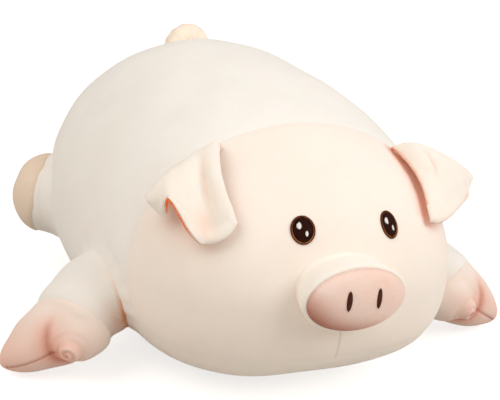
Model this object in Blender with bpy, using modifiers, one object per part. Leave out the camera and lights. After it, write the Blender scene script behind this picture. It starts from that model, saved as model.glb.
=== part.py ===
"""Plush pig, lying on its belly: a stuffed velour pillow toy about half a metre long.

The head and trunk are one stuffed bag sewn from a face, a back and a belly panel.
Four stuffed legs, two floppy ears and a curled tail are sewn into its seams.
Metres, +Z up. The pig faces -Y, and its own right side is at -X.
"""
import math

import bpy
import bmesh
from mathutils import Matrix, Vector

# Body bag
body_length = 0.460
body_width = 0.348
body_height = 0.258
front_middle_height = 0.113
rear_middle_height = 0.100
floor_flat_depth = 0.0005
widest_share = 0.55
highest_share = 0.61
lowest_share = 0.46
width_powers = (2.9, 2.8)
top_powers = (2.3, 2.9)
bottom_powers = (3.0, 2.1)
upper_section_power = 2.0
lower_section_power = 2.75

# Cloth and clearances
cloth = 0.002
gap = 0.0003
filling_gap = 0.0005
swing_gap = 0.0009
facet_lift = 0.0002
cut_overrun = 0.060

# Mesh counts
body_around, body_along = 28, 17
leg_around, leg_along = 16, 13
toe_around, toe_along = 12, 8
tail_around, tail_along = 10, 14
ear_rows, ear_columns = 8, 8
socket_around, socket_along = 20, 12
snout_around, snout_along = 20, 12
pad_segments = 16
glint_segments = 10

# Fineness of the search for a point on the body's surface
search_steps = 400
slope_steps = 2000
halvings = 30
end_share = 0.0001

# Seams of the bag: places along the body's length, from the front
belly_seam_height = 0.060
face_seam_low_share = 0.235
face_seam_cheek_share = 0.275
face_seam_crown_share = 0.290

# Snout
snout_side_offset = -0.004
snout_height = 0.134
snout_base_half_width = 0.0490
snout_base_half_height = 0.0370
snout_rim_half_width = 0.0480
snout_rim_half_height = 0.0305
snout_reach = 0.020
snout_dome = 0.0175
snout_root_depth = 0.034
snout_gusset_share = 0.334

# Embroidery
thread_height = 0.0008
nostril_width = 0.0055
nostril_length = 0.0180
nostril_spacing = 0.0290
nostril_rise = 0.0040
eye_side_offset = 0.003
eye_spacing = 0.0880
eye_rise_over_snout = 0.0460
eye_width = 0.0235
eye_length = 0.0275
eye_ring_width = 0.0016
large_glint_width = 0.0046
large_glint_length = 0.0058
small_glint_width = 0.0032
small_glint_length = 0.0046
glint_shares = (0.36, 0.26, 0.30, 0.36)

# Ears: places on the body under the cloth, x outwards from the middle, as shares of its sizes
ear_root_high = (0.2241 * body_width, -0.2304 * body_length, 0.8682 * body_height)
ear_root_low = (0.4080 * body_width, -0.2587 * body_length, 0.6589 * body_height)
ear_root_lift = 0.0018
ear_rise_power = 0.7
ear_rounding_share = 0.14
right_ear_inner_tip = (0.2414 * body_width, -0.4196 * body_length, 0.6667 * body_height)
right_ear_outer_tip = (0.3506 * body_width, -0.3783 * body_length, 0.6202 * body_height)
right_ear_arches = (0.0130, 0.0300)
right_ear_tip_lifts = (0.0080, 0.0110)
right_ear_fold_depth = 0.0120
left_ear_inner_tip = (0.2644 * body_width, -0.4130 * body_length, 0.6357 * body_height)
left_ear_outer_tip = (0.4195 * body_width, -0.3087 * body_length, 0.6357 * body_height)
left_ear_arches = (0.0080, 0.0420)
left_ear_tip_lifts = (0.0050, 0.0380)
left_ear_fold_depth = 0.0040
ear_fold_place_share = 0.30
ear_fold_width_share = 0.16

# Front legs: the root's place, x outwards from the middle, and reaches from the root
front_leg_root = (0.4713 * body_width, -0.1326 * body_length, 0.0670)
front_leg_radius = 0.0510
front_leg_seam_reach = (0.0450, -0.0200, -0.0130)
front_leg_seam_radius = 0.0385
outer_toe_reach = (0.1040, -0.0250, -0.0490)
outer_toe_radius = 0.0290
inner_toe_reach = (0.0620, -0.0660, -0.0410)
inner_toe_radius = 0.0270

# Rear legs
rear_leg_root = (0.4483 * body_width, 0.2957 * body_length, 0.0860)
rear_leg_radius = 0.0435
rear_leg_seam_reach = (0.0230, 0.0070, 0.0020)
rear_leg_seam_radius = 0.0360

leg_taper_power = 2.0
sleeve_root_share = 0.5
toe_root_share = 0.2
toe_peak_share = 0.45
toe_tip_power = 1.7

# Swings, degrees
tail_swing = (-20, 20)
swing_step = 20

# Tail
tail_middle = (0.005, 0.4065 * body_length)
tail_loop_radius = 0.0165
tail_loop_drop = 0.0050
tail_root_radius = 0.0115
tail_tip_radius = 0.0092
tail_root_angle = 192
tail_tip_angle = 8
tail_roundness_power = 3.0

IVORY = (0.93, 0.88, 0.80)
FACE_IVORY = (0.96, 0.87, 0.76)
PINK = (0.90, 0.66, 0.58)
PEACH = (0.86, 0.70, 0.56)
DARK_BROWN = (0.035, 0.014, 0.010)
RIM_BROWN = (0.25, 0.09, 0.04)
WHITE = (0.92, 0.92, 0.92)
FIBRE = (0.95, 0.95, 0.94)

for old in list(bpy.data.objects):
    bpy.data.objects.remove(old, do_unlink=True)

parts = bpy.data.collections.new("plush_pig")
cutters = bpy.data.collections.new("cutters")
bpy.context.scene.collection.children.link(parts)
bpy.context.scene.collection.children.link(cutters)


def make_material(name, colour, roughness):
    material = bpy.data.materials.new(name)
    material.use_nodes = True
    shader = material.node_tree.nodes["Principled BSDF"]
    shader.inputs["Base Color"].default_value = (*colour, 1.0)
    shader.inputs["Roughness"].default_value = roughness
    shader.inputs["Metallic"].default_value = 0.0
    return material


def add_object(name, bm, colour=None, roughness=0.9):
    """A node when it has a colour, otherwise a cutter that stays hidden."""
    mesh = bpy.data.meshes.new(name)
    bm.to_mesh(mesh)
    bm.free()
    mesh.shade_smooth()
    mesh.set_sharp_from_angle(angle=math.radians(40))
    item = bpy.data.objects.new(name, mesh)
    if colour is None:
        cutters.objects.link(item)
        item.hide_render = True
        item.display_type = "WIRE"
    else:
        parts.objects.link(item)
        mesh.materials.append(make_material(name, colour, roughness))
    return item


def combine(item, other, operation):
    modifier = item.modifiers.new(operation.lower() + "_" + other.name, "BOOLEAN")
    modifier.operation = operation
    modifier.solver = "EXACT"
    modifier.object = other
    return item


def swell(t, peak, front_power, rear_power):
    """One at the peak and zero at both ends, with a roundness of its own on each side."""
    if t < peak:
        u, power = (peak - t) / peak, front_power
    else:
        u, power = (t - peak) / (1.0 - peak), rear_power
    return max(0.0, 1.0 - u ** power) ** (1.0 / power)


def body_section(t, inset):
    """Place, half width, middle, height above it and depth below it, at a share of the length."""
    half_width = (body_width / 2 - inset) * swell(t, widest_share, *width_powers)
    middle = front_middle_height + (rear_middle_height - front_middle_height) * t
    over = (body_height - middle - inset) * swell(t, highest_share, *top_powers)
    under = (middle + floor_flat_depth - inset) * swell(t, lowest_share, *bottom_powers)
    place = (t - 0.5) * (body_length - 2 * inset)
    return place, half_width, middle, over, under


def body_point(t, c, s, inset):
    place, half_width, middle, over, under = body_section(t, inset)
    power = upper_section_power if s > 0 else lower_section_power
    x = math.copysign(abs(c) ** (2 / power), c) * half_width
    z = math.copysign(abs(s) ** (2 / power), s) * (over if s > 0 else under)
    return Vector((x, place, middle + z))


def body_measure(point):
    """Under one inside the body, one on its surface and more outside it."""
    t = min(max(point.y / body_length + 0.5, end_share), 1.0 - end_share)
    place, half_width, middle, over, under = body_section(t, 0.0)
    rise = point.z - middle
    power = upper_section_power if rise > 0 else lower_section_power
    height = over if rise > 0 else under
    return (abs(point.x) / half_width) ** power + (abs(rise) / height) ** power


def inside_body(point):
    return abs(point.y) < body_length / 2 and body_measure(point) < 1


def body_surface(start, direction):
    """Where a line from outside the body first meets it."""
    near, far = 0.0, 0.0
    while not inside_body(start + direction * far) and far < body_length:
        near, far = far, far + body_length / search_steps
    for _ in range(halvings):
        middle = (near + far) / 2
        if inside_body(start + direction * middle):
            far = middle
        else:
            near = middle
    return start + direction * near


def body_normal(point):
    """Outward direction at a surface point, from how the body's measure grows there."""
    step = body_length / slope_steps
    axes = (Vector((step, 0, 0)), Vector((0, step, 0)), Vector((0, 0, step)))
    return Vector([body_measure(point + a) - body_measure(point - a) for a in axes]).normalized()


def round_form(around, along, place_point):
    """A closed round form: a UV sphere whose points move to a share t from pole to pole."""
    bm = bmesh.new()
    bmesh.ops.create_uvsphere(bm, u_segments=around, v_segments=along, radius=1.0)
    for v in bm.verts:
        t = (1.0 - v.co.z) / 2
        reach = math.hypot(v.co.x, v.co.y)
        c, s = (v.co.x / reach, v.co.y / reach) if reach > 0.0001 else (1.0, 0.0)
        v.co = place_point(min(max(t, 0.0), 1.0), c, s)
    return facing_out(bm)


def facing_out(bm):
    bmesh.ops.recalc_face_normals(bm, faces=bm.faces)
    if bm.calc_volume(signed=True) < 0:
        bmesh.ops.reverse_faces(bm, faces=bm.faces)
    return bm


def box(low, high):
    bm = bmesh.new()
    bmesh.ops.create_cube(bm, size=1.0)
    low, high = Vector(low), Vector(high)
    size = high - low
    bmesh.ops.scale(bm, vec=size, verts=bm.verts)
    bmesh.ops.translate(bm, vec=(low + high) / 2, verts=bm.verts)
    return bm


def body_form(name, inset, colour=None):
    bm = round_form(body_around, body_along, lambda t, c, s: body_point(t, c, s, inset))
    return add_object(name, bm, colour)


def extruded_profile(name, outline, half_width):
    """A cutter: an outline in the Y-Z plane, extruded along X to both sides."""
    bm = bmesh.new()
    ring = [bm.verts.new((-half_width, y, z)) for y, z in outline]
    face = bm.faces.new(ring)
    grown = bmesh.ops.extrude_face_region(bm, geom=[face])
    moved = [v for v in grown["geom"] if isinstance(v, bmesh.types.BMVert)]
    bmesh.ops.translate(bm, vec=(2 * half_width, 0, 0), verts=moved)
    return add_object(name, facing_out(bm))


# Body bag: three cloth panels round one filling

reach_x = body_width / 2 + cut_overrun
reach_y = body_length / 2 + cut_overrun
reach_z = body_height + cut_overrun


def face_seam_place(z):
    """The seam behind the face, a smooth line through its low, cheek and crown places."""
    low, high = belly_seam_height, body_height
    cheek = (low + high) / 2
    shares = ((low, face_seam_low_share), (cheek, face_seam_cheek_share), (high, face_seam_crown_share))
    share = 0.0
    for i, (zi, value) in enumerate(shares):
        weight = value
        for j, (zj, _) in enumerate(shares):
            if i != j:
                weight *= (z - zj) / (zi - zj)
        share += weight
    return (share - 0.5) * body_length


def face_seam_line(offset):
    steps = 8
    heights = [belly_seam_height + (body_height - belly_seam_height) * i / steps for i in range(steps + 1)]
    return [(face_seam_place(z) + offset, z) for z in heights]


def region_cutters():
    floor = seam_bottom = belly_seam_height + gap / 2
    front_line = face_seam_line(-gap / 2)
    rear_line = face_seam_line(gap / 2)
    front = [(-reach_y, seam_bottom), (front_line[0][0], seam_bottom)] + front_line[1:]
    front += [(front_line[-1][0], reach_z), (-reach_y, reach_z)]
    rear = [(reach_y, floor), (reach_y, reach_z), (rear_line[-1][0], reach_z)]
    rear += rear_line[:0:-1] + [(rear_line[0][0], floor)]
    belly = box((-reach_x, -reach_y, 0), (reach_x, reach_y, belly_seam_height - gap / 2))
    return (extruded_profile("face_region", front, reach_x),
            extruded_profile("back_region", rear, reach_x),
            add_object("belly_region", belly))


face_region, back_region, belly_region = region_cutters()
bag_inside = body_form("bag_inside", cloth)
above_cloth = add_object("above_cloth", box((-reach_x, -reach_y, cloth), (reach_x, reach_y, reach_z)))
combine(bag_inside, above_cloth, "INTERSECT")


def panel(name, region, colour):
    cover = body_form(name, 0.0, colour)
    combine(cover, region, "INTERSECT")
    return combine(cover, bag_inside, "DIFFERENCE")


face_panel = panel("face_panel", face_region, FACE_IVORY)
back_cover = panel("back_cover", back_region, IVORY)
belly_panel = panel("belly_panel", belly_region, IVORY)

body_filling = body_form("body_filling", cloth + filling_gap, FIBRE)
above_lining = box((-reach_x, -reach_y, cloth + filling_gap), (reach_x, reach_y, reach_z))
combine(body_filling, add_object("above_lining", above_lining), "INTERSECT")


# Swinging pieces are cut clear of the bag at rest and at steps through their swing

def swing_angles(swing, step):
    """The body's turns as the moving piece sees them, over the whole swing."""
    low, high = swing
    count = math.ceil((high - low) / step)
    return [-high + (high - low) * i / count for i in range(count + 1)]


def turned(bm, pivot, axis, angle):
    turn = Matrix.Rotation(math.radians(angle), 4, axis)
    move = Matrix.Translation(pivot) @ turn @ Matrix.Translation(-pivot)
    bmesh.ops.transform(bm, matrix=move, verts=bm.verts)
    return bm


def clear_of_body(item, clearance):
    """Cut by the body itself, for a piece that stays still on it."""
    bm = round_form(body_around, body_along, lambda t, c, s: body_point(t, c, s, -clearance))
    return combine(item, add_object(item.name + "_clear", bm), "DIFFERENCE")


def clear_of_swinging_body(item, pivot, axis, swing, clearance):
    """Cut by the body as the moving piece meets it on its way."""
    for index, angle in enumerate(swing_angles(swing, swing_step)):
        bm = round_form(body_around, body_along, lambda t, c, s: body_point(t, c, s, -clearance))
        turned(bm, pivot, axis, angle)
        combine(item, add_object("%s_clear_%d" % (item.name, index), bm), "DIFFERENCE")
    return item


# Legs: a ball root that sits in a socket of the bag, a cloth sleeve, a foot cover and a filling

def leg_sockets():
    """Round sockets in the bag, clear of every leg's ball root, as one cutter."""
    bm = bmesh.new()
    widen = math.cos(math.pi / socket_around) * math.cos(math.pi / 2 / socket_along)
    for root, radius in ((front_leg_root, front_leg_radius), (rear_leg_root, rear_leg_radius)):
        for side in (-1, 1):
            made = bmesh.ops.create_uvsphere(bm, u_segments=socket_around, v_segments=socket_along,
                                             radius=(radius + swing_gap) / widen)
            bmesh.ops.translate(bm, vec=mirrored(root, side), verts=made["verts"])
    sockets = add_object("leg_sockets", bm)
    for cover in (face_panel, back_cover, belly_panel, body_filling):
        combine(cover, sockets, "DIFFERENCE")


def mirrored(point, side):
    return Vector((side * point[0], point[1], point[2]))


def limb_frame(root, tip):
    """Axes of a limb: along it, level across it, and square to both."""
    along = (tip - root).normalized()
    across = along.cross(Vector((0, 0, 1))).normalized()
    return along, across, across.cross(along).normalized()


def leg_form(root, seam, radius, seam_radius, inset):
    """Widest at the root, tapering outwards, with its seam radius at the seam."""
    axis, across, upright = limb_frame(root, seam)
    seam_share = (1.0 - (seam_radius / radius) ** leg_taper_power) ** (1.0 / leg_taper_power)
    taper = (seam - root).length / seam_share
    length = radius + taper
    peak = radius / length

    def place(t, c, s):
        girth = (radius - inset) * swell(t, peak, 2.0, leg_taper_power)
        distance = (t - peak) * (length - 2 * inset)
        return root + axis * distance + across * (girth * c) + upright * (girth * s)

    return round_form(leg_around, leg_along, place)


def toe_form(seam, tip, radius, inset):
    """A fat pointed toe, from inside the foot's seam to its tip."""
    axis, across, upright = limb_frame(seam, tip)
    start = seam - axis * radius * toe_root_share
    length = (tip - start).length

    def place(t, c, s):
        girth = (radius - inset) * swell(t, toe_peak_share, 2.0, toe_tip_power)
        distance = length / 2 + (t - 0.5) * (length - 2 * inset)
        return start + axis * distance + across * (girth * c) + upright * (girth * s)

    return round_form(toe_around, toe_along, place)


def seam_block(name, seam, axis, radius, beyond):
    """A cutter on one side of a limb's seam plane: its root side, or beyond it."""
    bm = bmesh.new()
    bmesh.ops.create_cube(bm, size=4 * radius)
    direction = 1 if beyond else -1
    centre = seam + axis * (direction * (2 * radius + gap / 2))
    turn = axis.to_track_quat("Z", "Y").to_matrix().to_4x4()
    bmesh.ops.transform(bm, matrix=Matrix.Translation(centre) @ turn, verts=bm.verts)
    return add_object(name, bm)


def with_toes(item, seam, toes, inset):
    for index, (tip, toe_radius) in enumerate(toes):
        toe = add_object("%s_toe_%d" % (item.name, index), toe_form(seam, tip, toe_radius, inset))
        combine(item, toe, "UNION")
    return item


def leg(names, side, root, seam_reach, radius, seam_radius, toes, foot_colour):
    """Sleeve, foot cover and filling of one leg, with their root on the swing axis."""
    sleeve_name, foot_name, filling_name = names
    root = mirrored(root, side)
    seam = root + mirrored(seam_reach, side)
    toes = [(root + mirrored(toe_reach, side), toe_radius) for toe_reach, toe_radius in toes]
    axis = (seam - root).normalized()

    def form(label, inset, colour=None):
        return add_object(label, leg_form(root, seam, radius, seam_radius, inset), colour)

    hollow = with_toes(form(sleeve_name + "_hollow", cloth), seam, toes, cloth)
    sleeve = form(sleeve_name, 0.0, IVORY)
    combine(sleeve, seam_block(sleeve_name + "_side", seam, axis, radius, False), "INTERSECT")
    combine(sleeve, hollow, "DIFFERENCE")
    inner_end = root - axis * radius * sleeve_root_share
    combine(sleeve, seam_block(sleeve_name + "_root", inner_end, axis, radius, False), "DIFFERENCE")
    foot = with_toes(form(foot_name, 0.0, foot_colour), seam, toes, 0.0)
    combine(foot, seam_block(foot_name + "_side", seam, axis, radius, True), "INTERSECT")
    combine(foot, hollow, "DIFFERENCE")
    filling = with_toes(form(filling_name, cloth + gap, FIBRE), seam, toes, cloth + gap)
    hang_on_pivot(sleeve_name + "_pivot", root, (sleeve, foot, filling))


def hang_on_pivot(name, place, items):
    """An empty on the joint's axis carries the pieces that move together."""
    pivot = bpy.data.objects.new(name, None)
    pivot.location = place
    parts.objects.link(pivot)
    for item in items:
        item.parent = pivot
        item.matrix_parent_inverse = Matrix.Translation(-place)


leg_sockets()
for side_name, side in (("right", -1), ("left", 1)):
    front_toes = ((outer_toe_reach, outer_toe_radius), (inner_toe_reach, inner_toe_radius))
    front_names = ["front_leg_%s_sleeve", "front_trotter_%s", "front_leg_%s_filling"]
    leg([name % side_name for name in front_names], side, front_leg_root, front_leg_seam_reach,
        front_leg_radius, front_leg_seam_radius, front_toes, PINK)
    rear_names = ["rear_leg_%s_sleeve", "rear_foot_%s", "rear_leg_%s_filling"]
    leg([name % side_name for name in rear_names], side, rear_leg_root, rear_leg_seam_reach,
        rear_leg_radius, rear_leg_seam_radius, (), PEACH)


# Snout: an oval gusset, a domed front disc and a filling

snout_face = body_surface(Vector((0, -body_length, snout_height)), Vector((0, 1, 0)))
snout_rim_place = snout_face.y - snout_reach
snout_depth = snout_reach + snout_root_depth


def snout_point(t, c, s, inset):
    """Dome over the first half of the turn, gusset over most of the rest, then a flat back."""
    q = math.acos(1.0 - 2.0 * t) / math.pi
    if q <= 0.5:
        angle = math.pi * q
        half_width, half_height = snout_rim_half_width - inset, snout_rim_half_height - inset
        width, height = half_width * math.sin(angle), half_height * math.sin(angle)
        place = snout_rim_place - (snout_dome - inset) * math.cos(angle)
    else:
        run = min((q - 0.5) / snout_gusset_share, 1.0)
        close = 1.0 if q < 0.5 + snout_gusset_share + 0.01 else (1.0 - q) / (0.5 - snout_gusset_share)
        spread = math.sin(run * math.pi / 2)
        width = snout_rim_half_width + (snout_base_half_width - snout_rim_half_width) * spread - inset
        height = snout_rim_half_height + (snout_base_half_height - snout_rim_half_height) * spread - inset
        width, height = width * close, height * close
        place = snout_rim_place + snout_depth * run
    return Vector((snout_side_offset + width * c, place, snout_height + height * s))


def snout_form(name, inset, colour=None):
    bm = round_form(snout_around, snout_along, lambda t, c, s: snout_point(t, c, s, inset))
    return add_object(name, bm, colour)


def snout():
    wide = snout_base_half_width + cut_overrun
    tall = snout_base_half_height + cut_overrun
    seam = snout_rim_place
    front = (-wide, seam - wide, snout_height - tall), (wide, seam - gap / 2, snout_height + tall)
    back = (-wide, seam + gap / 2, snout_height - tall), (wide, seam + wide, snout_height + tall)
    hollow = snout_form("snout_hollow", cloth)
    disc = snout_form("snout_disc", 0.0, PINK)
    combine(disc, add_object("snout_front_side", box(*front)), "INTERSECT")
    combine(disc, hollow, "DIFFERENCE")
    gusset = snout_form("snout_gusset", 0.0, FACE_IVORY)
    combine(gusset, add_object("snout_back_side", box(*back)), "INTERSECT")
    combine(gusset, hollow, "DIFFERENCE")
    clear_of_body(gusset, gap)
    filling = snout_form("snout_filling", cloth + gap, FIBRE)
    clear_of_body(filling, gap)


snout()


# Embroidery: thin pads of thread that follow the cloth under them

def thread_pad(name, place_point, outline, inner_outline, colour, segments=pad_segments, roughness=0.55):
    """Rings from an inner outline (or a middle point) to an outer one, laid on the cloth."""
    bm = bmesh.new()
    full = inner_outline is None and segments > glint_segments
    shares = (0.0, 0.5, 1.0) if full else (0.0, 1.0)
    rings = []
    for share in shares:
        ring = []
        for i in range(segments):
            angle = 2 * math.pi * i / segments
            a1, b1 = outline[0] * math.cos(angle), outline[1] * math.sin(angle)
            a0, b0 = (0.0, 0.0)
            if inner_outline is not None:
                a0, b0 = inner_outline[0] * math.cos(angle), inner_outline[1] * math.sin(angle)
            point = place_point(a0 + (a1 - a0) * share, b0 + (b1 - b0) * share)
            ring.append(point)
        rings.append(ring)
    if inner_outline is None:
        middle = bm.verts.new(rings[0][0])
        made = [[bm.verts.new(p) for p in ring] for ring in rings[1:]]
        for i in range(segments):
            bm.faces.new((middle, made[0][i], made[0][(i + 1) % segments]))
    else:
        made = [[bm.verts.new(p) for p in ring] for ring in rings]
    for near, far in zip(made, made[1:]):
        for i in range(segments):
            j = (i + 1) % segments
            bm.faces.new((near[i], far[i], far[j], near[j]))
    item = add_object(name, bm, colour, roughness)
    thicken(item, thread_height, 1.0)
    return item


def thicken(item, thickness, offset):
    modifier = item.modifiers.new("thickness", "SOLIDIFY")
    modifier.thickness = thickness
    modifier.offset = offset
    return item


def eye(name, side):
    eye_height = snout_height + eye_rise_over_snout
    start = Vector((eye_side_offset + side * eye_spacing / 2, -body_length, eye_height))
    centre = body_surface(start, Vector((0, 1, 0)))
    outward = body_normal(centre)
    across = outward.cross(Vector((0, 0, 1))).normalized() * -1
    upright = outward.cross(across).normalized()
    if upright.z < 0:
        upright = -upright
    if across.cross(upright).dot(outward) < 0:
        across = -across

    def on_face(lift, shift_a=0.0, shift_b=0.0):
        def place_point(a, b):
            above = centre + across * (a + shift_a) + upright * (b + shift_b) + outward * eye_length
            return body_surface(above, -outward) + outward * lift
        return place_point

    half = (eye_width / 2, eye_length / 2)
    inner = (half[0] - eye_ring_width, half[1] - eye_ring_width)
    fill = (inner[0] - gap, inner[1] - gap)
    seat = gap + facet_lift
    thread_pad("eye_%s_ring" % name, on_face(seat), half, inner, RIM_BROWN)
    thread_pad("eye_%s_fill" % name, on_face(seat), fill, None, DARK_BROWN)
    on_top = seat + thread_height + gap
    high = (-fill[0] * glint_shares[0], fill[1] * glint_shares[1])
    low = (fill[0] * glint_shares[2], -fill[1] * glint_shares[3])
    thread_pad("eye_%s_large_glint" % name, on_face(on_top, *high),
               (large_glint_width / 2, large_glint_length / 2), None, WHITE, glint_segments)
    thread_pad("eye_%s_small_glint" % name, on_face(on_top, *low),
               (small_glint_width / 2, small_glint_length / 2), None, WHITE, glint_segments)


def nostril(name, side):
    def place_point(a, b):
        x = side * nostril_spacing / 2 + a
        rise = nostril_rise + b
        rest = 1 - (x / snout_rim_half_width) ** 2 - (rise / snout_rim_half_height) ** 2
        y = snout_rim_place - snout_dome * math.sqrt(rest)
        return Vector((snout_side_offset + x, y - gap - facet_lift, snout_height + rise))

    half = (nostril_width / 2, nostril_length / 2)
    return thread_pad("nostril_%s" % name, place_point, half, None, DARK_BROWN)


for side_name, side in (("right", -1), ("left", 1)):
    eye(side_name, side)
    nostril(side_name, side)


# Ears: an outer cloth and a lining, rooted along the seam behind the face

def on_body(place, lift=0.0):
    """The point on the body nearest along its own slope, lifted off it."""
    outward = body_normal(place)
    skin = body_surface(place + outward * cut_overrun, -outward)
    return skin + body_normal(skin) * lift


def ear_point(side, inner_tip, outer_tip, arches, tip_lifts, fold_depth, u, v):
    """Across the ear from its inner edge (u), and from the root to the tip (v)."""
    rounding = 1.0 - ear_rounding_share * v ** 3
    across = 0.5 + (u - 0.5) * rounding
    root = mirrored(ear_root_high, side).lerp(mirrored(ear_root_low, side), across)
    tip = mirrored(inner_tip, side).lerp(mirrored(outer_tip, side), across)
    reach = v * (1.0 - ear_rounding_share / 2 * (2 * abs(u - 0.5)) ** 3)
    tip_lift = tip_lifts[0] + (tip_lifts[1] - tip_lifts[0]) * across
    arch = (arches[0] + (arches[1] - arches[0]) * across) * math.sin(math.pi * v ** ear_rise_power)
    fold = math.exp(-((across - ear_fold_place_share) / ear_fold_width_share) ** 2)
    fold *= fold_depth * math.sin(math.pi * v) ** 2
    lift = ear_root_lift + (tip_lift - ear_root_lift) * v * v + arch - fold
    return on_body(root.lerp(tip, reach), lift)


def cloth_layer(name, rows, low, high, colour):
    """A closed layer of cloth between two distances from a grid of points."""
    last_row, last_column = len(rows) - 1, len(rows[0]) - 1
    bm = bmesh.new()
    sides = []
    for distance in (low, high):
        layer = []
        for i, row in enumerate(rows):
            made = []
            for j, point in enumerate(row):
                down = rows[min(i + 1, last_row)][j] - rows[max(i - 1, 0)][j]
                over = row[min(j + 1, last_column)] - row[max(j - 1, 0)]
                made.append(bm.verts.new(point + down.cross(over).normalized() * distance))
            layer.append(made)
        sides.append(layer)
    for layer in sides:
        for i in range(last_row):
            for j in range(last_column):
                bm.faces.new((layer[i][j], layer[i][j + 1], layer[i + 1][j + 1], layer[i + 1][j]))
    border = [(0, j) for j in range(last_column)] + [(i, last_column) for i in range(last_row)]
    border += [(last_row, j) for j in range(last_column, 0, -1)] + [(i, 0) for i in range(last_row, 0, -1)]
    for (i, j), (k, l) in zip(border, border[1:] + border[:1]):
        bm.faces.new((sides[0][i][j], sides[0][k][l], sides[1][k][l], sides[1][i][j]))
    return add_object(name, facing_out(bm), colour)


def ear(name, side, *places):
    shape = (side, *places)
    rows = [[ear_point(*shape, j / ear_columns, i / ear_rows) for j in range(ear_columns + 1)]
            for i in range(ear_rows + 1)]
    out = side
    outer = cloth_layer("ear_%s_outer" % name, rows, out * gap / 2, out * (gap / 2 + cloth), IVORY)
    lining = cloth_layer("ear_%s_lining" % name, rows, -out * gap / 2, -out * (gap / 2 + cloth), PINK)
    hang_on_pivot("ear_%s_pivot" % name, ear_pivot(side), (outer, lining))


def ear_pivot(side):
    middle = mirrored(ear_root_high, side).lerp(mirrored(ear_root_low, side), 0.5)
    return on_body(middle, ear_root_lift)


ear("right", -1, right_ear_inner_tip, right_ear_outer_tip, right_ear_arches, right_ear_tip_lifts,
    right_ear_fold_depth)
ear("left", 1, left_ear_inner_tip, left_ear_outer_tip, left_ear_arches, left_ear_tip_lifts,
    left_ear_fold_depth)


# Tail: one stuffed curl that stands on the seam of the back

tail_x, tail_y = tail_middle
tail_seat = body_surface(Vector((tail_x, tail_y, body_height + cut_overrun)), Vector((0, 0, -1)))


tail_centre = tail_seat - Vector((0, 0, tail_loop_drop))
tail_root = on_body(tail_centre - Vector((tail_loop_radius, 0, 0)))


def tail_point(t, c, s):
    angle = math.radians(tail_root_angle + (tail_tip_angle - tail_root_angle) * t)
    radius = tail_root_radius + (tail_tip_radius - tail_root_radius) * t
    girth = radius * swell(t, 0.5, tail_roundness_power, tail_roundness_power)
    outward = Vector((math.cos(angle), 0, math.sin(angle)))
    centre = tail_centre + outward * tail_loop_radius
    return centre + outward * (girth * c) + Vector((0, girth * s, 0))


tail = add_object("tail", round_form(tail_around, tail_along, tail_point), PEACH)
clear_of_swinging_body(tail, tail_root, body_normal(tail_root), tail_swing, filling_gap)
hang_on_pivot("tail_pivot", tail_root, (tail,))


# The whole toy stands with the middle of its box over the origin

frame_shift = -(snout_rim_place - snout_dome + body_length / 2) / 2
for item in list(parts.objects) + list(cutters.objects):
    if item.parent is None:
        item.location.y += frame_shift
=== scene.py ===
import math

import bmesh
import bpy
import numpy as np
from mathutils import Matrix, Vector
from mathutils.bvhtree import BVHTree


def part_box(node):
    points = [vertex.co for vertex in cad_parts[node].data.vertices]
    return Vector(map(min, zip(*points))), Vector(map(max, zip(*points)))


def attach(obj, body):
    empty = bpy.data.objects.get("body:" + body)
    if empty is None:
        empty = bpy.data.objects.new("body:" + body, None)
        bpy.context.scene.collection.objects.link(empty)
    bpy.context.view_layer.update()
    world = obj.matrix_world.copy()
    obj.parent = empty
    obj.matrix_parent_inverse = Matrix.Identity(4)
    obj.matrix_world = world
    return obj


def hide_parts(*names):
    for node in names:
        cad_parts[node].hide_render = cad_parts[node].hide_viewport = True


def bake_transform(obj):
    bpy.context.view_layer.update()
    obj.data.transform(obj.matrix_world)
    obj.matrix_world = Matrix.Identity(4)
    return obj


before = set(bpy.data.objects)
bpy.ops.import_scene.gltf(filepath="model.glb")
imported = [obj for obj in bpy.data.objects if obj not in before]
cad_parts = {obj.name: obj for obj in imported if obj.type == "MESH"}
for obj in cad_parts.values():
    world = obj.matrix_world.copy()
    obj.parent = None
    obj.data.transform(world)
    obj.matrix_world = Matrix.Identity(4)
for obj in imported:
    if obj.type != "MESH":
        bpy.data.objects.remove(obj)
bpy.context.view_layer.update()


# Camera: a longer lens about a metre and a half from the toy, to its right and a little above,
# held slightly tilted. The shift gives the picture its framing.

camera_azimuth, camera_elevation, camera_roll = -26.2565, 22.6226, 6.1803
camera_distance = 1.52342
camera_target = Vector((0.0, 0.018028, 0.1))
camera_field = 18.873
camera_shift = (0.019287, 0.044455)


def add_object(name, data):
    """A new object in the scene."""
    thing = bpy.data.objects.new(name, data)
    bpy.context.scene.collection.objects.link(thing)
    return thing


def way_to(azimuth, elevation):
    """The way from the toy to a place, its azimuth and elevation in degrees from the front."""
    a, e = math.radians(azimuth), math.radians(elevation)
    return Vector((math.sin(a) * math.cos(e), -math.cos(a) * math.cos(e), math.sin(e)))


towards_camera = way_to(camera_azimuth, camera_elevation)
azimuth, roll = math.radians(camera_azimuth), math.radians(camera_roll)
level_right = Vector((math.cos(azimuth), math.sin(azimuth), 0.0))
level_up = towards_camera.cross(level_right)
camera_right = level_right * math.cos(roll) + level_up * math.sin(roll)
camera_up = level_up * math.cos(roll) - level_right * math.sin(roll)
camera_turn = Matrix((camera_right, camera_up, towards_camera)).transposed()

lens = bpy.data.cameras.new("photo_camera")
lens.sensor_fit = "HORIZONTAL"
lens.angle = math.radians(camera_field)
lens.shift_x, lens.shift_y = camera_shift
camera = add_object("photo_camera", lens)
camera.matrix_world = Matrix.LocRotScale(camera_target + towards_camera * camera_distance,
                                         camera_turn.to_quaternion(), None)
bpy.context.scene.camera = camera
bpy.context.scene.view_settings.view_transform = "Standard"


# Stage: a white floor under broad soft lamps. What the camera sees of the floor and the world is
# white, and the toy's own shadow stays on the floor.

floor_half_width, floor_glow = 6.0, 0.72
world_light = 0.43


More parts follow.
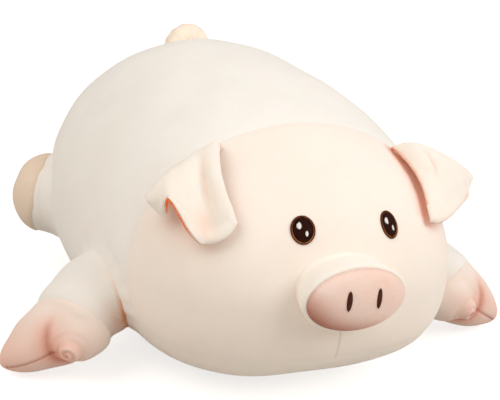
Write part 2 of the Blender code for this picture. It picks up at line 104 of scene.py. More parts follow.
def hex_colour(text):
    """A written sRGB colour as linear values."""
    shares = [int(text[i:i + 2], 16) / 255 for i in (0, 2, 4)]
    linear = [c / 12.92 if c <= 0.04045 else ((c + 0.055) / 1.055) ** 2.4 for c in shares]
    return (*linear, 1.0)


def add_node(tree, kind, values=None, **settings):
    """Adds a node. Each value is a constant for a socket, or an output to link to it, and a node
    stands for its first output."""
    node = tree.nodes.new(kind)
    for name, value in settings.items():
        setattr(node, name, value)
    for name, value in (values or {}).items():
        if isinstance(value, bpy.types.Node):
            value = value.outputs[0]
        if isinstance(value, bpy.types.NodeSocket):
            tree.links.new(value, node.inputs[name])
        else:
            node.inputs[name].default_value = value
    return node


def empty_tree(owner):
    """The node tree of a material or a world, with no nodes in it yet."""
    owner.use_nodes = True
    owner.node_tree.nodes.clear()
    return owner.node_tree


def white_to_the_camera(tree):
    """One where the camera, a reflection or a clear piece looks, zero for light on the toy."""
    path = add_node(tree, "ShaderNodeLightPath")
    seen = add_node(tree, "ShaderNodeMath", {0: path.outputs["Is Camera Ray"],
                                             1: path.outputs["Is Glossy Ray"]}, operation="MAXIMUM")
    return add_node(tree, "ShaderNodeMath", {0: seen, 1: path.outputs["Is Transmission Ray"]},
                    operation="MAXIMUM")


world = bpy.data.worlds.new("studio")
bpy.context.scene.world = world
tree = empty_tree(world)
soft_light = add_node(tree, "ShaderNodeBackground",
                      {"Color": hex_colour("FFFCF8"), "Strength": world_light})
backdrop = add_node(tree, "ShaderNodeBackground", {"Color": hex_colour("FFFFFF"), "Strength": 1.0})
chosen = add_node(tree, "ShaderNodeMixShader",
                  {0: white_to_the_camera(tree), 1: soft_light, 2: backdrop})
add_node(tree, "ShaderNodeOutputWorld", {"Surface": chosen})

# Matt white paper: it takes the toy's soft shadow, and its glow makes it white to the camera
white_floor = bpy.data.materials.new("white_paper_floor")
tree = empty_tree(white_floor)
paper = add_node(tree, "ShaderNodeBsdfDiffuse", {"Color": hex_colour("D2CEC8")})
glow_strength = add_node(tree, "ShaderNodeMath", {0: white_to_the_camera(tree), 1: floor_glow},
                         operation="MULTIPLY")
glow = add_node(tree, "ShaderNodeEmission", {"Strength": glow_strength})
both = add_node(tree, "ShaderNodeAddShader", {0: paper, 1: glow})
add_node(tree, "ShaderNodeOutputMaterial", {"Surface": both})

floor_mesh = bpy.data.meshes.new("floor")
w = floor_half_width
floor_mesh.from_pydata([(-w, -w, 0), (w, -w, 0), (w, w, 0), (-w, w, 0)], [], [(0, 1, 2, 3)])
floor_mesh.materials.append(white_floor)
floor = add_object("floor", floor_mesh)

# name, azimuth, elevation, distance, side, power in watts, colour
lamps = (("window_lamp", 44, 40, 2.4, 1.7, 28.5, "FFFFFF"),
         ("fill_lamp", -82, 48, 2.6, 1.8, 26.0, "FFFAF5"),
         ("top_lamp", 120, 72, 2.2, 1.6, 0.6, "FFFFFF"))
for name, lamp_azimuth, lamp_elevation, distance, side, power, tint in lamps:
    light = bpy.data.lights.new(name, "AREA")
    light.shape = "SQUARE"
    light.size = side
    light.energy = power
    light.color = hex_colour(tint)[:3]
    lamp = add_object(name, light)
    place = way_to(lamp_azimuth, lamp_elevation)
    lamp.location = camera_target + place * distance
    lamp.rotation_mode = "QUATERNION"
    lamp.rotation_quaternion = place.to_track_quat("Z", "Y")


# The bag of head and trunk: a face panel, a back cover and a belly panel of velour, sewn right
# sides together, turned out and stuffed hard with polyester fibre. The seams sink a little into
# the stuffing, and the cloth dips where the legs are caught in it.

bag_length, bag_width, bag_height = 0.460, 0.348, 0.258
front_middle_height, rear_middle_height = 0.113, 0.100
widest_share, highest_share, lowest_share = 0.55, 0.61, 0.46
width_powers, top_powers, bottom_powers = (2.9, 2.8), (2.3, 2.9), (2.65, 2.1)
upper_section_power, lower_section_power = 2.0, 2.75
belly_seam_height = 0.060
face_seam_shares = (0.235, 0.275, 0.290)
bag_middle_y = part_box("back_cover")[1].y - bag_length / 2
bag_columns, face_rows, back_rows, length_samples, seam_rounds = 336, 64, 104, 1200, 40
face_seam_sink, belly_seam_sink, seam_reach = 0.0011, 0.0006, 0.0034
stuffing_lump = 0.0009
brow_dimple, brow_dimple_depth, brow_dimple_spread = (0.0125, -0.149, 0.2236), 0.0032, 0.007


def swell(t, peak, front_power, rear_power):
    """One at the peak and zero at both ends, with a roundness of its own on each side."""
    t = np.asarray(t, float)
    u = np.where(t < peak, (peak - t) / peak, (t - peak) / (1.0 - peak))
    power = np.where(t < peak, front_power, rear_power)
    return np.maximum(0.0, 1.0 - np.clip(u, 0, 1) ** power) ** (1.0 / power)


def bag_point(t, turn):
    """A point of the bag at a share of its length and a turn round its section."""
    c, s = np.cos(turn), np.sin(turn)
    half_width = bag_width / 2 * swell(t, widest_share, *width_powers)
    middle = front_middle_height + (rear_middle_height - front_middle_height) * t
    over = (bag_height - middle) * swell(t, highest_share, *top_powers)
    under = middle * swell(t, lowest_share, *bottom_powers)
    power = np.where(s > 0, upper_section_power, lower_section_power)
    x = np.sign(c) * np.abs(c) ** (2 / power) * half_width
    z = middle + np.sign(s) * np.abs(s) ** (2 / power) * np.where(s > 0, over, under)
    y = (t - 0.5) * bag_length + bag_middle_y
    return np.stack(np.broadcast_arrays(x, y, z), axis=-1)


def face_seam_place(z):
    """Where the seam behind the face runs along Y, at a height."""
    heights = (belly_seam_height, (belly_seam_height + bag_height) / 2, bag_height)
    z = np.maximum(z, heights[0] / 2)
    share = np.zeros_like(z)
    for i, value in enumerate(face_seam_shares):
        weight = np.full_like(z, value)
        for j, other in enumerate(heights):
            if i != j:
                weight = weight * (z - other) / (heights[i] - other)
        share = share + weight
    return (share - 0.5) * bag_length + bag_middle_y


def evenly_along(turn, start, end, rows):
    """Shares of the length from start to end, evenly spaced over the cloth."""
    fine = start + (end - start) * (1 - np.cos(np.linspace(0, math.pi, length_samples))) / 2
    steps = np.linalg.norm(np.diff(bag_point(fine, turn), axis=0), axis=1)
    run = np.concatenate(([0.0], np.cumsum(steps)))
    return np.interp(np.linspace(0, run[-1], rows), run, fine)


def even_turns(count):
    """Even turns round a ring, in radians."""
    return np.arange(count) * 2 * math.pi / count


def grid_faces(rows, columns, closed):
    """Quads of a grid whose rows may close on themselves."""
    i, j = np.meshgrid(np.arange(rows - 1), np.arange(columns if closed else columns - 1),
                       indexing="ij")
    k = (j + 1) % columns
    return np.stack((i * columns + j, i * columns + k, (i + 1) * columns + k,
                     (i + 1) * columns + j), axis=-1).reshape(-1, 4)


def facing(faces, points, out):
    """The quads, all turned round if they face against the way out."""
    out = np.broadcast_to(out, points.shape).reshape(-1, 3)
    a, b, c = (points.reshape(-1, 3)[faces[:, i]] for i in (0, 1, 2))
    return faces if (np.cross(b - a, c - a) * out[faces[:, 0]]).sum() > 0 else faces[:, ::-1]


def outwards(normals, out):
    """The normals, all reversed if they point against the way out."""
    return normals if (normals * out).sum() > 0 else -normals


def grid_normals(grid, closed):
    """Square to the grid at each of its points."""
    along = np.gradient(grid, axis=0)
    if closed:
        over = np.roll(grid, -1, axis=1) - np.roll(grid, 1, axis=1)
    else:
        over = np.gradient(grid, axis=1)
    normals = np.cross(over, along)
    return normals / np.maximum(np.linalg.norm(normals, axis=2, keepdims=True), 1e-12)


def bell(distance, width):
    """One at no distance, falling softly to zero."""
    return np.exp(-(distance / width) ** 2)


def ramp(value, start, end):
    """Nought at the start and one at the end, straight between them and level beyond."""
    return np.clip((value - start) / (end - start), 0, 1)


def add_faces(bm, points, faces):
    """Adds points and faces to bm, and returns the new points."""
    made = [bm.verts.new(p) for p in points.tolist()]
    for face in faces:
        bm.faces.new([made[i] for i in face])
    return made


def join_points(bm):
    """Joins coincident points and clears what that leaves without area."""
    bmesh.ops.remove_doubles(bm, verts=bm.verts, dist=1e-6)
    bmesh.ops.dissolve_degenerate(bm, edges=bm.edges, dist=1e-7)


def piece_from(name, bm, material):
    """A smooth mesh object in the scene, made from bm."""
    mesh = bpy.data.meshes.new(name)
    bm.to_mesh(mesh)
    bm.free()
    mesh.shade_smooth()
    mesh.materials.append(material)
    return add_object(name, mesh)


def ringed_piece(name, grid, out, material):
    """A piece from rings of points, facing the way out."""
    bm = bmesh.new()
    add_faces(bm, grid.reshape(-1, 3), facing(grid_faces(*grid.shape[:2], closed=True), grid, out))
    join_points(bm)
    return piece_from(name, bm, material)


def paint(piece, name, amounts):
    """Writes a number from 0 to 1 on every point, for the piece's material."""
    layer = piece.data.attributes.new(name, "FLOAT", "POINT")
    layer.data.foreach_set("value", np.clip(amounts, 0, 1).astype(np.float32))


def points_of(mesh, what="co"):
    """The places of a mesh's points, or their normals."""
    values = np.empty(len(mesh.vertices) * 3)
    mesh.vertices.foreach_get(what, values)
    return values.reshape(-1, 3)


turns = even_turns(bag_columns)
face_share = np.full(bag_columns, face_seam_shares[1])
for _ in range(seam_rounds):
    seam_z = bag_point(face_share, turns)[:, 2]
    face_share = (face_seam_place(seam_z) - bag_middle_y) / bag_length + 0.5
shares = np.stack([np.concatenate((evenly_along(turn, 0.0, share, face_rows),
                                   evenly_along(turn, share, 1.0, back_rows)[1:]))
                   for turn, share in zip(turns, face_share)], axis=1)
bag = bag_point(shares, turns[None, :])
bag_out = grid_normals(bag, closed=True)
bag_out[0], bag_out[-1] = (0, -1, 0), (0, 1, 0)
bag_out = outwards(bag_out, bag - bag.mean(axis=(0, 1)))

# The front legs' and rear legs' roots, x outwards, and how far the cloth dips round them
front_leg_root, front_leg_radius = (0.4713 * bag_width, -0.1326 * bag_length, 0.0670), 0.0510
rear_leg_root, rear_leg_radius = (0.4483 * bag_width, 0.2957 * bag_length, 0.0860), 0.0435
root_dip, root_dip_reach, root_puckers, root_pucker_share = 0.0020, 0.0090, 17, 0.35

x, y, z = bag[..., 0], bag[..., 1], bag[..., 2]
sink = face_seam_sink * bell(y - face_seam_place(z), seam_reach) * (z > belly_seam_height)
steepness = np.sqrt(np.maximum(1 - bag_out[..., 2] ** 2, 0.02))
sink += belly_seam_sink * bell((z - belly_seam_height) / steepness, seam_reach * 1.3)
dimple = np.array(brow_dimple) + (0, bag_middle_y, 0)
sink += brow_dimple_depth * bell(np.linalg.norm((bag - dimple) * (0.6, 1, 1), axis=2),
                                 brow_dimple_spread)
for root, radius in ((front_leg_root, front_leg_radius), (rear_leg_root, rear_leg_radius)):
    for side in (-1, 1):
        arm = bag - (side * root[0], root[1] + bag_middle_y, root[2])
        around = np.arctan2(arm[..., 2], arm[..., 1])
        ring = bell(np.linalg.norm(arm, axis=2) - radius, root_dip_reach)
        sink += root_dip * ring * (1 + root_pucker_share * np.cos(root_puckers * around))
# Hard-packed stuffing shows as low broad waves, 70 to 230 mm long
lumps = (np.sin(31 * x + 17 * y + 1.3) * np.sin(27 * y - 9 * z + 0.4)
         + 0.7 * np.sin(43 * z + 21 * x + 2.1) * np.sin(38 * y + 0.9)
         + 0.5 * np.sin(71 * x - 52 * y + 0.7) * np.sin(64 * z + 1.9))
bag = bag + bag_out * (stuffing_lump * lumps - sink)[..., None]
bag[..., 2] = np.maximum(bag[..., 2], 0.0)

bag_faces = facing(grid_faces(*bag.shape[:2], closed=True), bag, bag_out)
bag_surface = BVHTree.FromPolygons(bag.reshape(-1, 3).tolist(), bag_faces.tolist())


nap_patch_mm, pile_bump, pile_bump_height = 48, 0.30, 0.0004
chin_seam_heights, chin_seam_sides, chin_seam_top = (0.060, 0.095), (0.0015, -0.0030), 0.105
chin_seam_widths, chin_seam_front_y = (0.0003, 0.0016), -0.10
chin_seam_depth, chin_seam_tint = 2.2, 0.45


def velour(name, light, shade, painted_shade_colour, blush, pile_mm=0.9, nap=0.5, chin_seam=False, glow=None,
           grain=0.14):
    """Short-pile knitted velour: matt, a little paler at grazing angles, with soft darker
    patches where the pile is brushed the other way. The pile is drawn coarser than the real
    0.3 mm so that it shows."""
    material = bpy.data.materials.new(name)
    tree = empty_tree(material)
    place = add_node(tree, "ShaderNodeTexCoord").outputs["Object"]
    patches = add_node(tree, "ShaderNodeTexNoise", {
        "Vector": place, "Scale": 1000 / nap_patch_mm, "Detail": 3.0, "Roughness": 0.55})
    pile = add_node(tree, "ShaderNodeTexNoise", {
        "Vector": place, "Scale": 1000 / pile_mm, "Detail": 2.0, "Roughness": 0.6})
    brushed = add_node(tree, "ShaderNodeMapRange", {
        "Value": patches, "From Min": 0.36, "From Max": 0.68, "To Min": 0.0, "To Max": nap})
    uneven = add_node(tree, "ShaderNodeMapRange", {
        "Value": pile, "From Min": 0.3, "From Max": 0.7, "To Min": -grain, "To Max": grain})
    worn = add_node(tree, "ShaderNodeMath", {0: brushed, 1: uneven}, operation="ADD",
                    use_clamp=True)
    cloth = add_node(tree, "ShaderNodeMix", {
        "Factor": worn, 6: hex_colour(light), 7: hex_colour(shade)}, data_type="RGBA")
    # The blush amount tints the cloth pinker: the cloth's own pink in places, and painted shade on the
    # snout disc and in the trotters' and right ear's creases
    tip = add_node(tree, "ShaderNodeAttribute", attribute_name="blush").outputs["Fac"]
    tinted = add_node(tree, "ShaderNodeMix", {
        "Factor": tip, 6: cloth.outputs[2], 7: hex_colour(blush)}, data_type="RGBA")
    # Painted shade: a painted shade amount on the points darkens the cloth towards the painted shade
    # colour, in streaks of the pile
    tuck = add_node(tree, "ShaderNodeAttribute", attribute_name="tuck").outputs["Fac"]
    rough = add_node(tree, "ShaderNodeMapRange", {
        "Value": pile, "From Min": 0.35, "From Max": 0.65, "To Min": 0.55, "To Max": 1.35})
    painted_shade_amount = add_node(tree, "ShaderNodeMath", {0: tuck, 1: rough}, operation="MULTIPLY",
                        use_clamp=True)
    colour = add_node(tree, "ShaderNodeMix", {
        "Factor": painted_shade_amount, 6: tinted.outputs[2], 7: hex_colour(painted_shade_colour)}, data_type="RGBA")
    height = pile
    if chin_seam:
        height, colour = sewn_chin(tree, place, height, colour)
    bump = add_node(tree, "ShaderNodeBump", {
        "Height": height, "Strength": pile_bump, "Distance": pile_bump_height})
    shader = add_node(tree, "ShaderNodeBsdfPrincipled", {
        "Base Color": colour.outputs[2], "Roughness": 0.92, **painted_fold_glow(tree, tuck, glow),
        "Specular IOR Level": 0.18, "Sheen Weight": 0.22, "Sheen Roughness": 0.45,
        "Subsurface Weight": 0.12, "Subsurface Scale": 0.006,
        "Subsurface Radius": (1.0, 0.55, 0.35), "Normal": bump})
    add_node(tree, "ShaderNodeOutputMaterial", {"Surface": shader})
    return material


def painted_fold_glow(tree, tuck, glow):
    """Painted glow: an orange emission as strong as the painted shade amount, so that deep folds glow
    orange, not grey.
    """
    if not glow:
        return {}
    painted_glow_strength = add_node(tree, "ShaderNodeMath", {0: tuck, 1: glow}, operation="MULTIPLY")
    return {"Emission Color": hex_colour("FF8A1E"), "Emission Strength": painted_glow_strength}


def sewn_chin(tree, place, height, colour):
    """A short closed seam under the snout, a fine groove in the pile."""
    axes = add_node(tree, "ShaderNodeSeparateXYZ", {0: place}).outputs
    slant = add_node(tree, "ShaderNodeMapRange", {
        "Value": axes["Z"], "From Min": chin_seam_heights[0], "From Max": chin_seam_heights[1],
        "To Min": chin_seam_sides[0], "To Max": chin_seam_sides[1]})
    away = add_node(tree, "ShaderNodeMath", {0: axes["X"], 1: slant}, operation="SUBTRACT")
    near = add_node(tree, "ShaderNodeMath", {0: away}, operation="ABSOLUTE")
    groove = add_node(tree, "ShaderNodeMapRange", {
        "Value": near, "From Min": chin_seam_widths[0], "From Max": chin_seam_widths[1],
        "To Min": 1.0, "To Max": 0.0}, interpolation_type="SMOOTHSTEP")
    front = add_node(tree, "ShaderNodeMath", {0: axes["Y"], 1: chin_seam_front_y},
                     operation="LESS_THAN")
    low = add_node(tree, "ShaderNodeMath", {0: axes["Z"], 1: chin_seam_top}, operation="LESS_THAN")
    here = add_node(tree, "ShaderNodeMath", {0: front, 1: low}, operation="MULTIPLY")
    groove = add_node(tree, "ShaderNodeMath", {0: groove, 1: here}, operation="MULTIPLY")
    lowered = add_node(tree, "ShaderNodeMath", {0: groove, 1: -chin_seam_depth, 2: height},
                       operation="MULTIPLY_ADD")
    shaded = add_node(tree, "ShaderNodeMath", {0: groove, 1: chin_seam_tint}, operation="MULTIPLY")
    darker = add_node(tree, "ShaderNodeMix", {
        "Factor": shaded, 6: colour.outputs[2], 7: hex_colour("DCC4A8")}, data_type="RGBA")
    return lowered, darker


# Ivory velour of the back: very pale, with a warm painted shade only in its folds
ivory_velour = velour("ivory_knitted_velour", "FCF6EE", "F7EFE5", "D9884E", "FBEFE2")
# Cream velour of the face: the same cloth in a warmer dye, with a painted orange shade and glow where
# the ears lie close over it
cream_velour = velour("cream_knitted_velour", "FFF2E6", "FDEDDF", "D4642C", "FFE3CB",
                      chin_seam=True, glow=0.12)
# Ivory velour of the belly: a little warmer and darker than the back's
belly_velour = velour("ivory_velour_belly", "FDF2E6", "FAEBDD", "D9884E", "FBEFE2")


def bag_panel(name, rows, above, material):
    """One cloth of the bag: rows of the grid, cut at the belly seam."""
    quad_rows = bag_faces[:, (0, 2)] // bag_columns
    kept = ((quad_rows >= rows[0]) & (quad_rows <= rows[1])).all(axis=1)
    used, faces = np.unique(bag_faces[kept], return_inverse=True)
    bm = bmesh.new()
    add_faces(bm, bag.reshape(-1, 3)[used], faces.reshape(-1, 4))
    bmesh.ops.remove_doubles(bm, verts=bm.verts, dist=1e-6)
    cut = bmesh.ops.bisect_plane(bm, geom=bm.verts[:] + bm.edges[:] + bm.faces[:],
                                 plane_co=(0, 0, belly_seam_height), plane_no=(0, 0, 1),
                                 clear_inner=above, clear_outer=not above)
    assert cut["geom_cut"]
    return piece_from(name, bm, material)


last_row = len(bag) - 1
face_cloth = bag_panel("face_panel_cloth", (0, face_rows - 1), True, cream_velour)
back_cloth = bag_panel("back_cover_cloth", (face_rows - 1, last_row), True, ivory_velour)
belly_cloth = bag_panel("belly_panel_cloth", (0, last_row), False, belly_velour)
for cloth_piece, nodes in ((face_cloth, ("face_panel",)),
                           (back_cloth, ("back_cover", "body_filling")),
                           (belly_cloth, ("belly_panel",))):
    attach(cloth_piece, "body")
    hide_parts(*nodes)


# Legs: each is a short sleeve of ivory velour whose root is caught in the bag's seams, closed by
# a foot of another colour. The sleeve bends where it meets the bag, because only cloth and
# stuffing join them. A seam runs along its underside.

leg_columns, sleeve_rows, fillet_rows, search_steps = 112, 30, 9, 120
front_root_place, front_seam_place = (0.1600, -0.0530, 0.0660), (0.2010, -0.0830, 0.0510)
front_root_way, front_seam_way = (0.85, -0.45, -0.27), (0.62, -0.58, -0.53)
front_root_half, front_seam_half = (0.0410, 0.0400), (0.0385, 0.0365)
rear_root_place, rear_seam_place = (0.1500, 0.1320, 0.0870), (0.1610, 0.1400, 0.0875)
# How far each front leg is turned forward at rest, in degrees
front_leg_turns = {"right": 0.0, "left": 9.0}
rear_way = (0.80, 0.60, 0.03)
rear_half = (0.0415, 0.0415)
front_fillet, rear_fillet = 0.0045, 0.0130
leg_seam_tuck, leg_seam_sink, leg_seam_reach = 0.0026, 0.0009, 0.0022
sleeve_bend_share = 0.38
hem_inwards, hem_under_cloth, sewn_under_cloth = 0.002, 0.004, 0.0009
# Waves of the stuffing along X, Y and Z, in radians a metre
sleeve_waves = (50, 110, 80)
# How dark the painted shade in the folds beside the bag is, and how far it reaches from it
fold_painted_shade, fold_painted_shade_reach, crease_painted_shade, crease_painted_shade_reach = 0.62, 0.026, 0.70, 0.0035
under_seam_turn, under_seam_depth, under_seam_width = -100, 0.0012, 0.0020


def on_side(place, side):
    """A place given for the pig's left, x outwards, on a side and in the frame."""
    return np.array((side * place[0], place[1] + bag_middle_y, place[2]))


def unit(way, side=1):
    """A direction of length one, mirrored for the pig's right."""
    way = np.array((side * way[0], way[1], way[2]), float)
    return way / np.linalg.norm(way)


def swung(place, root, side, degrees):
    """A place turned forward round the upright line through a leg's root."""
    turn = -side * math.radians(degrees)
    away = place - root
    return root + np.array((away[0] * math.cos(turn) - away[1] * math.sin(turn),
                            away[0] * math.sin(turn) + away[1] * math.cos(turn), away[2]))


def limb_axes(way):
    """Unit directions level across a limb, and square to it and to that."""
    across = unit(np.cross((0, 0, 1), way))
    return across, np.cross(way, across)


def over_bag(point):
    """How far a point is outside the bag's cloth, the cloth's place and its outward side."""
    place, normal, _, _ = bag_surface.find_nearest(Vector(point))
    return (Vector(point) - place).dot(normal), np.array(place), np.array(normal)


def leg_sleeve(name, root, seam, root_way, seam_way, root_half, seam_half, fillet):
    """From a flare sewn to the bag to the tucked edge at the foot's seam."""
    run = np.linalg.norm(seam - root)
    bend = run * sleeve_bend_share
    corners = root + root_way * bend, seam - seam_way * bend

    def place(q, turn, shrink=0.0):
        """A point of the sleeve, from its root (0) to the foot's seam (1)."""
        if q < 0:
            middle, way = root + root_way * (q * run), root_way
        else:
            middle = ((1 - q) ** 3 * root + 3 * q * (1 - q) ** 2 * corners[0]
                      + 3 * q * q * (1 - q) * corners[1] + q ** 3 * seam)
            way = unit(root_way * (1 - q) + seam_way * q)
        across, upright = limb_axes(way)
        share = max(q, 0.0) ** 2
        half = [(1 - share) * r + share * s - shrink for r, s in zip(root_half, seam_half)]
        return middle + across * (half[0] * math.cos(turn)) + upright * (half[1] * math.sin(turn))

    grid = []
    for turn in even_turns(leg_columns):
        steps = np.linspace(-0.8, 1.0, search_steps)
        line = np.array([place(q, turn) for q in steps])
        inside = [i for i, p in enumerate(line) if over_bag(p)[0] < 0]
        last = min(inside[-1] if inside else 0, len(line) - 4)
        corner = line[last]
        outward = over_bag(corner)[2]
        away = place(steps[last], turn) - place(steps[last], turn, 0.01)
        away = unit(away - outward * away.dot(outward))
        room = np.linalg.norm(line[-1] - corner)
        flare = min(fillet, room * 0.8)
        _, sewn, outward = over_bag(corner + away * flare)
        start = steps[last] + (1 - steps[last]) * flare / max(room, 1e-6)
        first = place(start, turn)
        column = [sewn + away * hem_inwards - outward * hem_under_cloth,
                  sewn - outward * sewn_under_cloth]
        for share in np.linspace(0, 1, fillet_rows + 1)[1:-1]:
            column.append((1 - share) ** 2 * column[1] + 2 * share * (1 - share) * corner
                          + share ** 2 * first)
        for q in np.linspace(start, 0.994, sleeve_rows):
            column.append(place(q, turn, leg_seam_sink * bell((1 - q) * run, leg_seam_reach)))
        column.append(place(1.0, turn, leg_seam_tuck * 0.6) + seam_way * 0.0003)
        column.append(place(0.985, turn, leg_seam_tuck))
        grid.append(column)
    grid = np.array(grid).transpose(1, 0, 2)
    out = outwards(grid_normals(grid, closed=True), grid - grid.mean(axis=1, keepdims=True))
    under = np.angle(np.exp(1j * (even_turns(leg_columns) - math.radians(under_seam_turn))))
    # The sewn edges keep their places, so the waves and the seam fade out over a few rows
    row, rows = np.arange(len(grid)), len(grid)
    free = np.clip(row / 6 - 1, 0, 1) * np.clip((rows - row) / 5 - 0.4, 0, 1)
    wave = stuffing_lump * np.sin(grid @ sleeve_waves)
    seam_line = under_seam_depth * bell(under * seam_half[0], under_seam_width)
    grid = grid + out * (free[:, None] * (wave - seam_line))[..., None]
    sleeve = ringed_piece(name, grid, out, ivory_velour)
    # Painted shade: the cloth is painted warm and dark low on the inner side, where it folds against
    # the bag
    places = points_of(sleeve.data)
    gaps, _, bag_ways = zip(*(over_bag(p) for p in places))
    inner, z = ramp(-np.array(bag_ways)[:, 1], 0.02, 0.27), places[:, 2]
    fold = fold_painted_shade * bell(np.array(gaps), fold_painted_shade_reach) * ramp(z, 0.085, 0.055)
    crease = crease_painted_shade * bell(np.array(gaps), crease_painted_shade_reach) * ramp(z, 0.115, 0.065)
    paint(sleeve, "tuck", (fold + crease) * inner)
    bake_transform(sleeve)
    return sleeve


# Trotters of pink velour: two fat toes stuffed from one cover, with a deep crease between them.
# The outer toe is long and pointed. The inner one ends in a gathered knot of cloth, and the
# slit under the outer toe is closed by hand with a row of overstitches.

stump_reach, stump_behind, stump_rounding = 0.0220, 0.014, 0.05
# start, tip, radius, share of the length where it is widest, and the powers of its two ends
outer_toe = ((0.0010, 0.0, 0.0), (0.2675, -0.0775, 0.0105), 0.0345, 0.25, (1.9, 1.6))
inner_toe = ((-0.0070, -0.0050, -0.0010), (0.2160, -0.1165, 0.0385), 0.0300, 0.42, (2.2, 2.0))
toe_behind = 0.024
knot_radius, knot_out, knot_power, knot_spread = 0.0122, 0.0065, 2.6, 0.0130
trotter_voxel, trotter_smoothing = 0.0015, 6
toe_crease_depth, toe_crease_width, toe_crease_offset = 0.0016, 0.0032, 0.0130
knot_turn_spacing, knot_groove = 0.0062, 0.0024
slit_start, slit_end, slit_y = (0.2270, 0.0360), (0.2640, 0.0115), -0.09
slit_depth, slit_width = 0.0009, 0.0016
trotter_rim_behind, trotter_rim_sink, trotter_rim_width = 0.004, 0.0010, 0.0018
outer_tip_blush_reach, inner_tip_blush_reach = 0.045, 0.018
floor_clearance = 0.0004

# Pink velour of the trotters: pale on the toes' backs, dusty pink at their tips, and a painted shade
# of pink and darker pink in the crease
pink_velour = velour("pink_knitted_velour", "FFF0E4", "FDE4D6", "C4664C", "F0A88F", nap=0.7)


def closed_form(bm, around, along_count, place):
    """A closed form added to bm: rings from place(t, turn), with a point at each end."""
    shares = (1 - np.cos(np.linspace(0, math.pi, along_count + 1))) / 2
    spin = even_turns(around)
    rings = [[bm.verts.new(place(t, a)) for a in spin] for t in shares[1:-1]]
    ends = bm.verts.new(place(0.0, 0.0)), bm.verts.new(place(1.0, 0.0))
    for near, far in zip(rings, rings[1:]):
        for i in range(around):
            j = (i + 1) % around
            bm.faces.new((near[i], near[j], far[j], far[i]))
    for end, ring, order in ((ends[0], rings[0], 1), (ends[1], rings[-1], -1)):
        for i in range(around):
            bm.faces.new((end, ring[i], ring[(i + 1) % around])[::order])


def baked(thing):
    """The mesh that an object's modifiers make. The object itself is removed."""
    view = bpy.context.evaluated_depsgraph_get()
    mesh = bpy.data.meshes.new_from_object(thing.evaluated_get(view))
    bpy.data.objects.remove(thing)
    return mesh


def remeshed(bm, voxel, smoothing):
    """One skin round overlapping closed forms, smoothed so that their creases are soft."""
    bmesh.ops.recalc_face_normals(bm, faces=bm.faces)
    mesh = bpy.data.meshes.new("forms")
    bm.to_mesh(mesh)
    forms = add_object("forms", mesh)
    skin = forms.modifiers.new("skin", "REMESH")
    skin.mode, skin.voxel_size = "VOXEL", voxel
    soften = forms.modifiers.new("soften", "SMOOTH")
    soften.factor, soften.iterations = 0.5, smoothing
    bm.clear()
    bm.from_mesh(baked(forms))
    return bm


def slit_ends(side, root, swing):
    """Both ends of the slit under a trotter's outer toe."""
    return [swung(on_side((x, slit_y, z), side), root, side, swing)
            for x, z in (slit_start, slit_end)]


